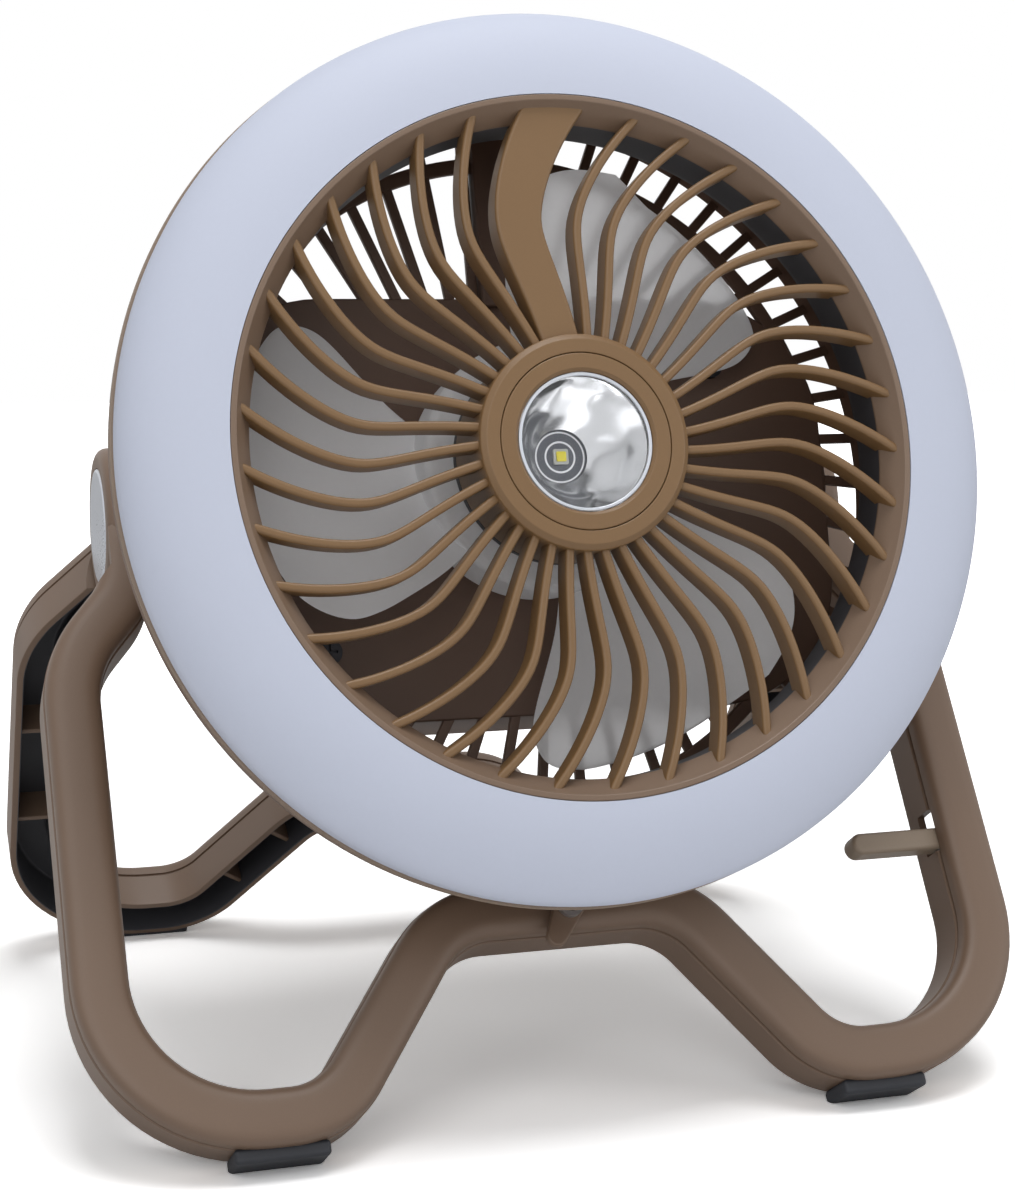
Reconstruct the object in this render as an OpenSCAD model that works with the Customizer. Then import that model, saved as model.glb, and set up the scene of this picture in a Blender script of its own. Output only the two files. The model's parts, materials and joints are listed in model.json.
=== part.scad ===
// Portable camping fan: a round head with a ring light, a fan and a spotlight, hung between
// two folding frames. The origin is the middle of the footprint on the ground, +Z is up and
// the light faces -Y. Head pieces are drawn about the fan axis, with zero at the rim plane.

/* [Head] */
// Radius of the rim behind the ring light
rim_r = 101; // [97:0.5:103]
// Angle that the face leans back from upright
head_tilt = 15.6; // [15:0.1:18]
// Distance from the pivots forward to the rim plane
rim_forward = 74; // [72:0.5:78]
// Height of the fan axis above the pivots, along the face
head_rise = 1.3; // [0:0.1:3]
// Thickness of the tray behind the ring light
tray_t = 2.4; // [2:0.1:3]

/* [Ring light] */
// Height of the diffuser's inner edge in front of the rim plane
diffuser_rise = 14.5; // [12:0.5:17]
// Height of the diffuser's straight outer skirt
diffuser_skirt = 3.5; // [2:0.5:5]
// Wall of the diffuser
diffuser_wall = 2; // [1.6:0.1:2.6]
// Number of lights on the ring board
led_count = 36; // [18:6:48]
// Width of the ring board
board_w = 15; // [11:0.5:16]
// Thickness of the boards
board_t = 1.6; // [1:0.1:2]

/* [Grille] */
// Outer radius of the grille's ring
grille_r = 78; // [76:0.5:80]
// Width of the grille's ring
grille_w = 5; // [4:0.5:6]
// Number of rib places round the grille
rib_places = 37; // [30:1:40]
// Thickness of a rib
rib_t = 2; // [1.6:0.1:2.4]
// Depth of the ribs
rib_depth = 5.6; // [5:0.2:9]
// Outer radius of the hub ring
hub_r = 24; // [23:0.5:26]
// Wall of the hub ring
hub_wall = 4.3; // [3.6:0.1:4.6]

/* [Spotlight] */
// Radius of the reflector's mouth
mouth_r = 15.3; // [14:0.1:15.8]
// Depth of the reflector
reflector_depth = 17; // [14:0.5:17.5]
// Radius of the opening round the light
throat_r = 6.1; // [5:0.1:7]
// Side of the light's square package
spot_led_w = 3.5; // [3:0.1:5]

/* [Fan] */
// Number of blades
blade_count = 3; // [3:1:4]
// Radius at the blade tips
blade_r = 70; // [64:0.5:71]
// Thickness of a blade
blade_t = 1.6; // [1.4:0.1:2.2]
// Depth that the blades take along the axis
blade_depth = 17; // [12:0.5:19]
// Angle that one blade covers
blade_span = 72; // [60:1:84]
// Radius of the fan's hub
fan_hub_r = 29.5; // [27:0.5:31]
// Depth of the fan's hub
fan_hub_depth = 15; // [13:0.5:17]
// Radius of the motor
motor_r = 14; // [12:0.5:16]
// Radius of the motor shaft
shaft_r = 1.5; // [1.5:0.1:2]

/* [Housing] */
// Depth of the round shell behind the tray
shell_depth = 31; // [30:0.5:33]
// Radius of the shell's back edge
shell_back_r = 90; // [88:0.5:91]
// Number of slats in the rear guard
slat_count = 48; // [36:1:54]
// Width of a slat
slat_w = 2.4; // [2:0.1:3]
// Half width of the pod, across the pivots
pod_half_w = 78.4; // [77:0.2:80]
// Height of the pod
pod_h = 100; // [92:1:104]
// Drop of the pod's middle below the fan axis
pod_drop = 6; // [4:0.5:8]
// Radius of the pod's corners
pod_corner = 32; // [26:1:36]
// Depth of the pod housing behind the guard
pod_depth = 46; // [44:0.5:48]
// Depth of the pod's cover
cover_depth = 12; // [10:0.5:14]
// Wall of the pod
pod_wall = 2.4; // [2:0.1:3]
// Radius of a battery cell
cell_r = 9.1; // [9:0.1:9.2]
// Length of a battery cell
cell_len = 65; // [60:0.5:66]

/* [Controls] */
// Radius of the buttons
button_r = 8; // [6:0.5:9]
// Travel of the buttons
button_travel = 0.8; // [0.5:0.1:1.2]
// Width of the charging port's flap
flap_w = 17; // [15:0.5:20]
// Height of the charging port's flap
flap_h = 10; // [9:0.5:12]

/* [Stand] */
// Lean of each frame from upright
lean = 33.8; // [30:0.1:36]
// Half the spacing of the legs' middle lines
leg_u = 106.5; // [105:0.5:110]
// Distance from the pivots down to the middle of the foot bars
foot_v = 150; // [146:1:156]
// Distance from the pivots down to the middle of the cross bar
bar_v = 108.9; // [108.5:0.1:112]
// Half the spacing of the feet's inner bends
toe_u = 58.8; // [56:0.2:64]
// Half the spacing of the cross bar's bends
knee_u = 28.1; // [24:0.1:32]
// Width of a frame's band
band_w = 13; // [12:0.5:14]
// Depth of a frame's channel up to its face
channel_depth = 15.5; // [14:0.5:16]
// Wall of a frame's channel
channel_wall = 1.9; // [1.6:0.1:2.4]
// Length of a foot pad
pad_len = 21; // [16:1:24]
// Radius of the pivot bolts
bolt_r = 5; // [4:0.1:6]
// Radius of the frames' eyes
eye_r = 19; // [18:0.5:19.5]
// Thickness of the rear frame's eyes
rear_eye_t = 7.5; // [7:0.1:8]
// Thickness of the front frame's eyes
front_eye_t = 7.8; // [7.6:0.1:8.4]

/* [Latch and hook] */
// Length of the latch finger from its screw
latch_len = 10.2; // [9:0.2:12]
// Width of the latch finger
latch_w = 4.8; // [4:0.2:5.4]
// Distance from the pivots down to the hook
hook_v = 98.9; // [94:0.1:106]
// Length of the hook from its pin
hook_len = 29; // [24:0.5:31]
// Thickness of the hook
hook_t = 5.4; // [4.6:0.2:5.8]

/* [Hidden] */
$fn = 96;

// Overrun of a cut past the face that it opens, and the lap of two volumes of one piece
over = 0.6;
// Radial running fit of a pin in its bore, and the gap between pieces that slide past each other
fit = 0.05;
slide_gap = 0.3;
// Gap between pieces that turn beside each other
run_gap = 0.5;

// Ring light
rim_lip = 0.7;
diffuser_r = rim_r - rim_lip;
diffuser_in = grille_r + slide_gap;
led_w = 3.5;
led_l = 2.8;
led_h = 0.9;
ring_board_r = diffuser_r - diffuser_wall - slide_gap;

// Grille: each rib leans one way from the hub to its knee, and the other way on to the ring
ring_in = grille_r - grille_w;
ring_lip = 1.3;
ring_slope = 5.5;
rib_set = 1.7;
rib_front = diffuser_rise - rib_set;
rib_knee = 0.519;
rib_peak = 13.7;
rib_drift = 7.24;
rib_fold = 19.6;
rib_ease = 2.4;
rib_lean = 1;
first_rib = 105.1;
bridge_places = 2;
bridge_at = 90.8;
bridge_lean = 1.07;
bridge_inner_w = 8.6;
bridge_outer_w = 12.4;
rib_steps = 10;
flange_w = 8;
flange_t = 2;
wall_flare = 0.6;
grille_screw_count = 6;
small_screw_r = 1.1;
small_head_r = 2.4;
small_head_h = 1.3;

// Spotlight
hub_proud = 0.5;
hub_face = diffuser_rise + hub_proud;
hub_in = hub_r - hub_wall;
bezel_r = hub_in - slide_gap / 2;
bezel_t = 1.4;
rim_t = 0.8;
lens_t = 1;
mouth_gap = 0.2;
lens_proud = 0.4;
spot_back = hub_face - rim_t - reflector_depth;
star_r = 9;
star_t = 1.6;
led_t = 1.1;
cup_t = 1.8;
hub_back = spot_back - rim_t - star_t;
cup_back = hub_back - cup_t;

// Fan
fan_front = -10;
fan_hub_wall = 2;
blade_front = -6;
blade_root = fan_hub_r - fan_hub_wall / 2;
front_edge_shares = [0.56, 0.54, 0.51, 0.48, 0.44, 0.36, 0.27, 0.14];
rear_edge_shares = [0.34, 0.40, 0.46, 0.505, 0.52, 0.50, 0.46, 0.38];
reach_shares = [0, 0.2, 0.4, 0.6, 0.76, 0.89, 0.965, 1];
camber_share = 0.1;
root_drop = 4;
blade_turn = -57;
chord_steps = 8;
guard_t = 2.5;
guard_front = -shell_depth;
guard_back = guard_front - guard_t;
motor_len = 14;
motor_nose_r = 5;
motor_nose = 1.2;
fan_boss_r = 4.5;
nut_r = 3.2;
nut_h = 1.6;
shaft_proud = 0.2;
motor_screw_share = 0.6;

// Housing
lip_t = 2.8;
lip_step = 0.8;
lip_bevel = 1.2;
lip_w = 4.2;
shell_wall = 2.2;
shell_bevel = 2;
guard_ring_r = 79;
guard_ring_w = 3.5;
guard_step = 0.2;
slat_turn = -6;
first_slat = 6.4;
pod_front = guard_back;
pod_back = pod_front - pod_depth;
cover_back = pod_back - cover_depth;
cover_floor = cover_back + pod_wall;
boss_r = 4;
pilot_r = 1.3;
post_len = 12;
web_w = 2;
pod_head_r = 3;
pod_head_h = 1.8;
cover_bevel = 6.5;
cover_step = 2;
cover_rim = 4;
cover_seat = 7;
cover_screw_len = 14;
cover_post_u = 54;
cover_post_w = 28;
front_post_u = 50;
front_post_w = 33;
holder_wall = 1.6;
cell_gap = 0.6;
pole_r = 3;
pole_h = 1;
cell_count = 4;
cell_pitch = 2 * cell_r + cell_gap;
cells_w = cell_count * cell_pitch + cell_gap;
holder_clear = 2;
holder_depth = 2 * cell_r + 2 * cell_gap + holder_wall + holder_clear;
holder_back = pod_front - holder_depth;
pcb_w = 64;
pcb_h = 74;
pcb_post_r = 2.6;
pcb_post_in = 4;
switch_w = 6;
switch_h = 3.4;

// Controls, placed by their height along the face from the pod's middle
fan_button_w = 24;
light_button_w = -2;
window_w = 11;
port_w = -26;
button_proud = 1.4;
flange_gap = 0.15;
button_flange_t = 1.2;
button_flange_w = 1.3;
button_bevel = 0.8;
stem_r = 2;
stem_len = 3;
stem_end = cover_floor + flange_gap + button_flange_t + stem_len;
switch_tip = stem_end + button_travel + flange_gap;
pcb_z = switch_tip + switch_h;
window_l = 16;
window_h = 3.4;
window_proud = 0.3;
port_l = 9;
port_h = 3.3;
plug_t = 1.2;
flap_t = 2;
barrel_r = 1.6;
flap_pin_r = 0.7;
lug_t = 2;
flap_axis_w = port_w + flap_h / 2 + barrel_r / 2;
flap_axis_z = cover_back - barrel_r - slide_gap;

// Pivots, stacked outwards along X from the pod's side
washer_t = 0.7;
washer_r = 17;
washer_gap = 0.1;
rear_eye_in = pod_half_w + washer_t + washer_gap;
rear_eye_out = rear_eye_in + rear_eye_t;
front_eye_in = rear_eye_out + run_gap;
front_eye_out = front_eye_in + front_eye_t;
pod_boss_r = 11;
pod_boss_len = 12;
pod_boss_in = pod_half_w - pod_boss_len;
cap_t = 2.6;
cap_r = 14;
cap_dome = 0.4;
eye_bevel = 2.5;
eye_clear = 1.2;
pocket_gap = 0.4;
eye_split = (rear_eye_out + front_eye_in) / 2;
bolt_head_r = 8.6;
bolt_head_t = 2;
bolt_gap = 0.2;
bolt_end = front_eye_out - cap_t - bolt_gap;
nut_t = 4;
pivot_nut_r = 8.5;

// Stand
front_arm_u = (front_eye_in + front_eye_out) / 2;
rear_arm_u = (rear_eye_in + rear_eye_out) / 2;
arm_top = 8;
arm_clear_v = 62;
land_v = 42.1;
flare_rise = 1.2;
open_gap = 0.3;
shoulder_drop = 3;
shoulder = channel_depth - shoulder_drop;
web_t = 2.2;
face_step = 1.2;
face_w = band_w - 2 * face_step;
crown_step = 2.8;
crown_w = band_w - 2 * crown_step;
crown_h = 1.2;
heel_r = 33.3;
toe_r = 19;
knee_r = 21;
land_r = 22;
flare_r = 9;
bend_steps = 10;
stiffener_t = 1.4;
leg_stiffener_shares = [0.17, 0.36, 0.66];
slope_stiffener_shares = [0.3, 0.7];
bar_stiffener_shares = [0.28, 0.72];
pad_t = 5;
pad_proud = 2.3;
pad_set = 0.5;
pad_depth = channel_depth - pad_set;
sole_cut = 1.4;
foot_bottom = foot_v + band_w / 2;
pad_bottom = foot_bottom + pad_proud;
pad_out = 12.3;
pad_u = toe_u + pad_out;
hinge_h = pad_bottom * cos(lean) - sole_cut;

// Latch and hook
face_top = channel_depth + crown_h;
latch_drop = 1.6;
latch_v = bar_v + latch_drop;
latch_t = 2.2;
latch_boss_r = 3.6;
latch_turn = -31;
latch_screw_r = 1.5;
latch_head_r = 2.9;
latch_head_h = 1.6;
latch_screw_in = 6;
latch_gap = 0.1;
hook_pin_r = 1.5;
hook_low = 5.8;
hook_w = 6.2;
hook_boss_r = 3.4;
hook_head_r = 2.7;
hook_head_h = 1.2;
slot_up = 7.4;
slot_down = 3.2;

// Reach of the head in front of the pivots and of a rear pad behind them: the part's depth
dome_a = diffuser_r - diffuser_in;
dome_b = diffuser_rise - diffuser_skirt;
front_reach = (rim_forward + diffuser_skirt) * cos(head_tilt)
    + (diffuser_in - head_rise) * sin(head_tilt)
    + norm([dome_b * cos(head_tilt), dome_a * sin(head_tilt)]);
rear_reach = pad_bottom * sin(lean) + pad_depth * cos(lean);
hinge_y = (front_reach - rear_reach) / 2;

brown = [0.56, 0.41, 0.24];
taupe = [0.44, 0.36, 0.30];
pale = [0.78, 0.81, 0.90];
dark = [0.14, 0.13, 0.13];
steel = [0.72, 0.72, 0.72];

// Places

module head() {
    translate([0, hinge_y, hinge_h]) rotate([90 - head_tilt, 0, 0])
        translate([0, head_rise, rim_forward]) children();
}
module front_stand() {
    translate([0, hinge_y, hinge_h]) rotate([90 - lean, 0, 0]) children();
}
module rear_stand() {
    translate([0, hinge_y, hinge_h]) rotate([0, 0, 180]) rotate([90 - lean, 0, 0]) children();
}
// Local +z runs outwards along the pivots, on the right for side 1 and the left for side -1
module pivot(side) {
    translate([0, hinge_y, hinge_h]) rotate([90 - head_tilt, 0, 0]) rotate([0, side * 90, 0])
        children();
}
// The pod's middle, in the head's own frame
module pod() {
    translate([0, -pod_drop, 0]) children();
}

// Shapes that repeat

module rod(r, z0, z1) {
    translate([0, 0, z0]) cylinder(r = r, h = z1 - z0);
}
module tube(r, bore, z0, z1) {
    difference() {
        rod(r, z0, z1);
        rod(bore, z0 - over, z1 + over);
    }
}
module turned(points) {
    rotate_extrude() polygon(points);
}
module box(size, at = [0, 0, 0]) {
    translate([at[0] - size[0] / 2, at[1] - size[1] / 2, at[2]]) cube(size);
}
module around(n, start = 0) {
    for (i = [0:n - 1]) rotate([0, 0, start + i * 360 / n]) children();
}
module corners(u, w) {
    for (x = [-u, u], y = [-w, w]) translate([x, y, 0]) children();
}
// Screw with its head on the +z side of zero and a cross cut in the head
module screw(head_r, head_h, r, len) {
    difference() {
        union() {
            rod(head_r, 0, head_h);
            rod(r, -len, over / 2);
        }
        for (a = [0, 90]) rotate([0, 0, a])
            box([1.3 * head_r, head_h / 3, head_h], [0, 0, head_h / 2]);
    }
}
// Rectangle with round corners, drawn as one outline
function round_rect(w, h, r, steps = 8) = [
    for (q = [0:3], k = [0:steps])
        let (sx = q == 0 || q == 3 ? 1 : -1, sy = q < 2 ? 1 : -1, a = 90 * q + 90 * k / steps)
        [sx * (w / 2 - r) + r * cos(a), sy * (h / 2 - r) + r * sin(a)]
];
module slab(w, h, r, z0, z1) {
    translate([0, 0, z0]) linear_extrude(z1 - z0) polygon(round_rect(w, h, r));
}
// Flat bar from the origin along +x with round ends
module link(len, w, z0, z1) {
    union() {
        rod(w / 2, z0, z1);
        translate([len, 0, 0]) rod(w / 2, z0, z1);
        translate([0, -w / 2, z0]) cube([len, w, z1 - z0]);
    }
}

// Head: ring light

function dome(r_out, r_in, base, top, steps = 12) = [
    for (k = [0:steps])
        [r_in + (r_out - r_in) * cos(90 * k / steps), base + (top - base) * sin(90 * k / steps)]
];
function reversed(list) = [for (i = [len(list) - 1:-1:0]) list[i]];

module grille_screw_places() {
    around(grille_screw_count, 360 / grille_screw_count / 2)
        translate([grille_r + flange_w / 2, 0, 0]) children();
}
module light_tray() {
    color(brown) head() difference() {
        tube(rim_r, grille_r + slide_gap / 2, -tray_t, 0);
        grille_screw_places() rod(small_screw_r + fit, -tray_t - over, -over / 2);
    }
}
module ring_board() {
    color([0.9, 0.9, 0.88]) head() tube(ring_board_r, ring_board_r - board_w, 0, board_t);
}
module ring_leds() {
    color([0.95, 0.9, 0.6]) head() around(led_count)
        box([led_l, led_w, led_h], [ring_board_r - board_w / 2, 0, board_t]);
}
module ring_diffuser() {
    skin = dome(diffuser_r, diffuser_in, diffuser_skirt, diffuser_rise);
    lining = dome(diffuser_r - diffuser_wall, diffuser_in, diffuser_skirt,
        diffuser_rise - diffuser_wall);
    color(pale) head()
        turned(concat([[diffuser_r - diffuser_wall, 0], [diffuser_r, 0]], skin, reversed(lining)));
}

// Head: grille

function polar(r, a) = [r * cos(a), r * sin(a)];
// Angle of a rib at the share s of the way out from the hub
function rib_angle(s, lean) =
    lean * (rib_peak - rib_drift * (s - rib_knee) - norm([rib_fold * (s - rib_knee), rib_ease]));
function rib_point(s, lean) =
    polar(hub_r - hub_wall / 2 + s * (grille_r - grille_w / 2 - hub_r + hub_wall / 2),
        rib_angle(s, lean));
function rib_side(s, lean, off) =
    let (p = rib_point(s, lean), d = rib_point(s + 0.01, lean) - p)
    p + off * [-d[1], d[0]] / norm(d);
function rib_outline(lean, w0, w1) = concat(
    [for (i = [0:rib_steps]) let (s = i / rib_steps)
        rib_side(s, lean, (w0 + s * (w1 - w0)) / 2)],
    [for (i = [rib_steps:-1:0]) let (s = i / rib_steps)
        rib_side(s, lean, -(w0 + s * (w1 - w0)) / 2)]);
module rib(lean, w0, w1, front) {
    translate([0, 0, front - rib_depth]) linear_extrude(rib_depth)
        polygon(rib_outline(lean, w0, w1));
}

module front_grille() {
    pitch = 360 / rib_places;
    turn_out = rib_angle(1, rib_lean);
    flange_r = grille_r + flange_w;
    color(brown) head() difference() {
        union() {
            turned([
                [ring_in + wall_flare, -tray_t], [grille_r - ring_lip, -tray_t - flange_t],
                [flange_r, -tray_t - flange_t], [flange_r, -tray_t], [grille_r, -tray_t],
                [grille_r, diffuser_rise], [grille_r - ring_lip, diffuser_rise],
                [ring_in, diffuser_rise - ring_slope]
            ]);
            tube(hub_r, hub_in, hub_back, hub_face);
            for (i = [0:rib_places - bridge_places - 1])
                rotate([0, 0, first_rib - turn_out + i * pitch])
                    rib(rib_lean, rib_t, rib_t, rib_front);
            rotate([0, 0, bridge_at - rib_angle(1, bridge_lean)])
                rib(bridge_lean, bridge_inner_w, bridge_outer_w, rib_front + over / 2);
        }
        grille_screw_places() rod(small_screw_r + fit, -tray_t - flange_t - over, over - tray_t);
    }
}
module grille_screws() {
    color(steel) head() grille_screw_places() translate([0, 0, -tray_t - flange_t])
        rotate([180, 0, 0])
            screw(small_head_r, small_head_h, small_screw_r, flange_t + tray_t - over);
}

// Head: spotlight

function reflector_r(s, off) = throat_r + off + s * (mouth_r - throat_r);
function reflector_z(s) =
    let (r = throat_r + s * (mouth_r - throat_r))
    spot_back + reflector_depth * (r * r - throat_r * throat_r)
        / (mouth_r * mouth_r - throat_r * throat_r);
module spot_bezel() {
    inner = mouth_r + mouth_gap;
    color(brown) head() turned([
        [inner, hub_face - bezel_t], [bezel_r, hub_face - bezel_t], [bezel_r, hub_face],
        [inner + bezel_t / 2, hub_face], [inner, hub_face - bezel_t / 2]
    ]);
}
module spot_reflector() {
    steps = 10;
    rim = hub_face - bezel_t;
    seat = rim - lens_t;
    color([0.9, 0.9, 0.92]) head() turned(concat(
        [for (k = [0:steps]) [reflector_r(k / steps, 0), min(reflector_z(k / steps), seat)]],
        [[mouth_r, seat], [mouth_r + rim_t / 2, rim], [bezel_r - slide_gap, rim],
            [bezel_r - slide_gap, rim - rim_t], [mouth_r + rim_t, rim - rim_t]],
        [for (k = [steps - 1:-1:0])
            [reflector_r(k / steps, rim_t), min(reflector_z(k / steps), seat - 2 * rim_t)]]
    ));
}
module spot_lens() {
    rim = hub_face - bezel_t;
    color([0.9, 0.95, 1, 0.4]) head()
        rod(mouth_r - slide_gap / 3, rim - lens_t + fit, rim + lens_proud);
}
module spot_led() {
    color([0.95, 0.85, 0.2]) head()
        box([spot_led_w, spot_led_w, led_t], [0, 0, spot_back - rim_t]);
}
module spot_board() {
    color([0.75, 0.76, 0.78]) head() rod(star_r, hub_back, spot_back - rim_t);
}
module spot_cup() {
    plug_r = hub_in - slide_gap / 2;
    well_r = star_r + slide_gap;
    color(dark) head() union() {
        rod(hub_r, cup_back, hub_back);
        tube(plug_r, plug_r - cup_t, hub_back - cup_t / 2, spot_back);
        tube(well_r + cup_t, well_r, hub_back - cup_t / 2, spot_back - rim_t);
    }
}

// Head: fan and motor

// Point of a blade at chord step i and span row j, on its front face for side 1
function blade_point(i, j, side) =
    let (
        p = 2 * i / chord_steps - 1,
        r = blade_root + reach_shares[j] * (blade_r - blade_root),
        a = blade_span * (p > 0 ? p * front_edge_shares[j] : p * rear_edge_shares[j]),
        z = blade_front + blade_depth * ((p - 1) / 2 - camber_share * (1 - p * p))
            - root_drop * (1 - reach_shares[j]) * (1 + p) / 2 - blade_t * (1 - side) / 2
    )
    concat(polar(r, a), [z]);
module blade() {
    rows = len(reach_shares);
    cols = chord_steps + 1;
    count = rows * cols;
    front = [for (j = [0:rows - 1], i = [0:cols - 1]) blade_point(i, j, 1)];
    back = [for (j = [0:rows - 1], i = [0:cols - 1]) blade_point(i, j, -1)];
    skin = [for (j = [0:rows - 2], i = [0:cols - 2]) let (a = j * cols + i)
        each [[a, a + 1, a + cols + 1], [a, a + cols + 1, a + cols]]];
    lining = [for (t = skin) [t[0] + count, t[2] + count, t[1] + count]];
    loop = concat(
        [for (i = [0:cols - 1]) i], [for (j = [1:rows - 1]) j * cols + cols - 1],
        [for (i = [cols - 2:-1:0]) (rows - 1) * cols + i], [for (j = [rows - 2:-1:1]) j * cols]);
    edge = [for (k = [0:len(loop) - 1]) let (a = loop[k], b = loop[(k + 1) % len(loop)])
        each [[a, a + count, b + count], [a, b + count, b]]];
    polyhedron(concat(front, back), concat(skin, lining, edge));
}
module fan_impeller() {
    hub_end = fan_front - fan_hub_depth;
    inner_r = fan_hub_r - fan_hub_wall;
    floor_z = fan_front - fan_hub_wall;
    color([0.72, 0.72, 0.72]) head() difference() {
        union() {
            turned([
                [0, fan_front], [inner_r, fan_front], [fan_hub_r, floor_z], [fan_hub_r, hub_end],
                [inner_r, hub_end], [inner_r, floor_z], [fan_boss_r, floor_z],
                [fan_boss_r, floor_z - fan_hub_wall], [0, floor_z - fan_hub_wall]
            ]);
            around(blade_count, blade_turn) blade();
        }
        rod(shaft_r + fit, hub_end, fan_front + over);
    }
}
module motor_shaft() {
    color(steel) head() rod(shaft_r, guard_front + board_t, fan_front + nut_h + shaft_proud);
}
module impeller_nut() {
    color([0.8, 0.65, 0.3]) head() difference() {
        translate([0, 0, fan_front]) cylinder(r = nut_r, h = nut_h, $fn = 6);
        rod(shaft_r + fit, fan_front - over, fan_front + nut_h + over);
    }
}
module motor_screw_places() {
    around(2) translate([motor_r * motor_screw_share, 0, 0]) children();
}
module motor() {
    top = guard_front + motor_len;
    color([0.55, 0.56, 0.58]) head() difference() {
        union() {
            rod(motor_r, guard_front, top);
            rod(motor_nose_r, top - over, top + motor_nose);
        }
        rod(shaft_r + fit, guard_front + board_t - slide_gap, top + motor_nose + over);
        motor_screw_places() rod(small_screw_r + fit, guard_front - over, guard_front + guard_t);
    }
}
module motor_screws() {
    color(steel) head() motor_screw_places() translate([0, 0, guard_back]) rotate([180, 0, 0])
        screw(small_head_r, small_head_h, small_screw_r, 2 * guard_t - over);
}

// Head: housing

module pod_outline(inset, z0, z1) {
    pod() slab(2 * (pod_half_w - inset), pod_h - 2 * inset, pod_corner - inset, z0, z1);
}
module pod_screw_places() {
    pod() corners(front_post_u, front_post_w) children();
}
module cover_screw_places() {
    pod() corners(cover_post_u, cover_post_w) children();
}
// Four posts, each with a web up or down to the pod's wall
module posts(u, w, z0, z1) {
    reach = pod_h / 2 - pod_wall / 2 - w;
    pod() for (x = [-u, u], side = [-1, 1]) translate([x, side * w, z0]) {
        cylinder(r = boss_r, h = z1 - z0);
        translate([-web_w / 2, side > 0 ? 0 : -reach, 0]) cube([web_w, reach, z1 - z0]);
    }
}
module slat() {
    inner = pod_h / 2 - pod_drop - pod_wall;
    outer = shell_back_r - slide_gap;
    translate([guard_ring_r, 0, guard_back]) rotate([0, 0, slat_turn])
        translate([inner - guard_ring_r, -slat_w / 2, 2 * guard_step])
            cube([outer - inner, slat_w, guard_t - 4 * guard_step]);
}
module rear_guard() {
    lip_back = -tray_t - lip_t;
    lip_r = rim_r - lip_step;
    neck_z = guard_front + shell_bevel;
    color([0.30, 0.24, 0.18]) head() difference() {
        union() {
            turned([
                [lip_r - lip_w, -tray_t], [lip_r, -tray_t], [lip_r, lip_back],
                [lip_r - lip_bevel, lip_back - lip_bevel], [shell_back_r + lip_bevel, neck_z],
                [shell_back_r, guard_back], [shell_back_r - shell_wall, guard_back],
                [shell_back_r + lip_bevel - shell_wall, neck_z],
                [lip_r - lip_w, lip_back - lip_bevel]
            ]);
            tube(guard_ring_r, guard_ring_r - guard_ring_w, guard_back + guard_step,
                guard_front - guard_step);
            rotate([0, 0, first_slat]) around(slat_count) slat();
            pod_outline(0, guard_back, guard_front);
        }
        pod_screw_places() rod(pilot_r + fit, guard_back - over, guard_front + over);
        motor_screw_places() rod(small_screw_r + fit, guard_back - over, guard_front + over);
    }
}
module pod_housing() {
    color([0.30, 0.24, 0.18]) difference() {
        union() {
            head() difference() {
                pod_outline(0, pod_back, pod_front);
                pod_outline(pod_wall, pod_back - over, pod_front + over);
            }
            head() posts(front_post_u, front_post_w, pod_front - post_len, pod_front);
            head() posts(cover_post_u, cover_post_w, pod_back, pod_back + post_len);
            intersection() {
                for (side = [-1, 1]) pivot(side)
                    rod(pod_boss_r, pod_boss_in, pod_half_w - pod_wall / 2);
                head() pod_outline(pod_wall / 4, pod_back + slide_gap, pod_front);
            }
        }
        head() pod_screw_places() rod(pilot_r + fit, pod_front - post_len - over, pod_front + over);
        head() cover_screw_places() rod(pilot_r + fit, pod_back - over, pod_back + post_len + over);
        for (side = [-1, 1]) pivot(side) rod(bolt_r + fit, pod_boss_in - over, pod_half_w + over);
    }
}
module pod_screws() {
    color(steel) head() pod_screw_places() translate([0, 0, guard_front])
        screw(pod_head_r, pod_head_h, pilot_r, guard_t + post_len - over);
}
module cover_shell() {
    difference() {
        hull() {
            pod_outline(0, pod_back - cover_rim, pod_back);
            pod_outline(cover_step, pod_back - 0.75 * cover_depth, pod_back - cover_rim);
            pod_outline(cover_bevel, cover_back, cover_back + over);
        }
        hull() {
            pod_outline(pod_wall, pod_back - cover_rim, pod_back + over);
            pod_outline(cover_bevel + pod_wall / 2, cover_floor, cover_floor + over);
        }
    }
}
module flap_place() {
    translate([0, flap_axis_w - pod_drop, flap_axis_z]) rotate([0, 90, 0]) children();
}
module pod_cover() {
    color([0.30, 0.24, 0.18]) head() difference() {
        union() {
            cover_shell();
            cover_screw_places() rod(boss_r + fit, cover_back + pod_wall / 2, pod_back);
            pod() corners(pcb_w / 2 - pcb_post_in, pcb_h / 2 - pcb_post_in)
                rod(pcb_post_r, cover_back + pod_wall / 2, pcb_z);
            for (side = [-1, 1]) pod()
                box([lug_t, 2 * barrel_r, 2 * barrel_r + pod_wall / 2],
                    [side * (flap_w / 2 + slide_gap + lug_t / 2), flap_axis_w,
                        flap_axis_z - barrel_r]);
        }
        cover_screw_places() rod(pilot_r + fit, cover_back - over, pod_back + over);
        cover_screw_places() rod(pod_head_r + slide_gap, cover_back - over, cover_back + cover_seat);
        pod() for (w = [fan_button_w, light_button_w]) translate([0, w, 0])
            rod(button_r + slide_gap, cover_back - over, cover_floor + over);
        pod() box([window_l, window_h, pod_wall + 2 * over], [0, window_w, cover_back - over]);
        pod() box([port_l + 2 * slide_gap, port_h + 2 * slide_gap, pod_wall + 2 * over],
            [0, port_w, cover_back - over]);
        flap_place() rod(flap_pin_r + fit, -flap_w, flap_w);
    }
}
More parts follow.
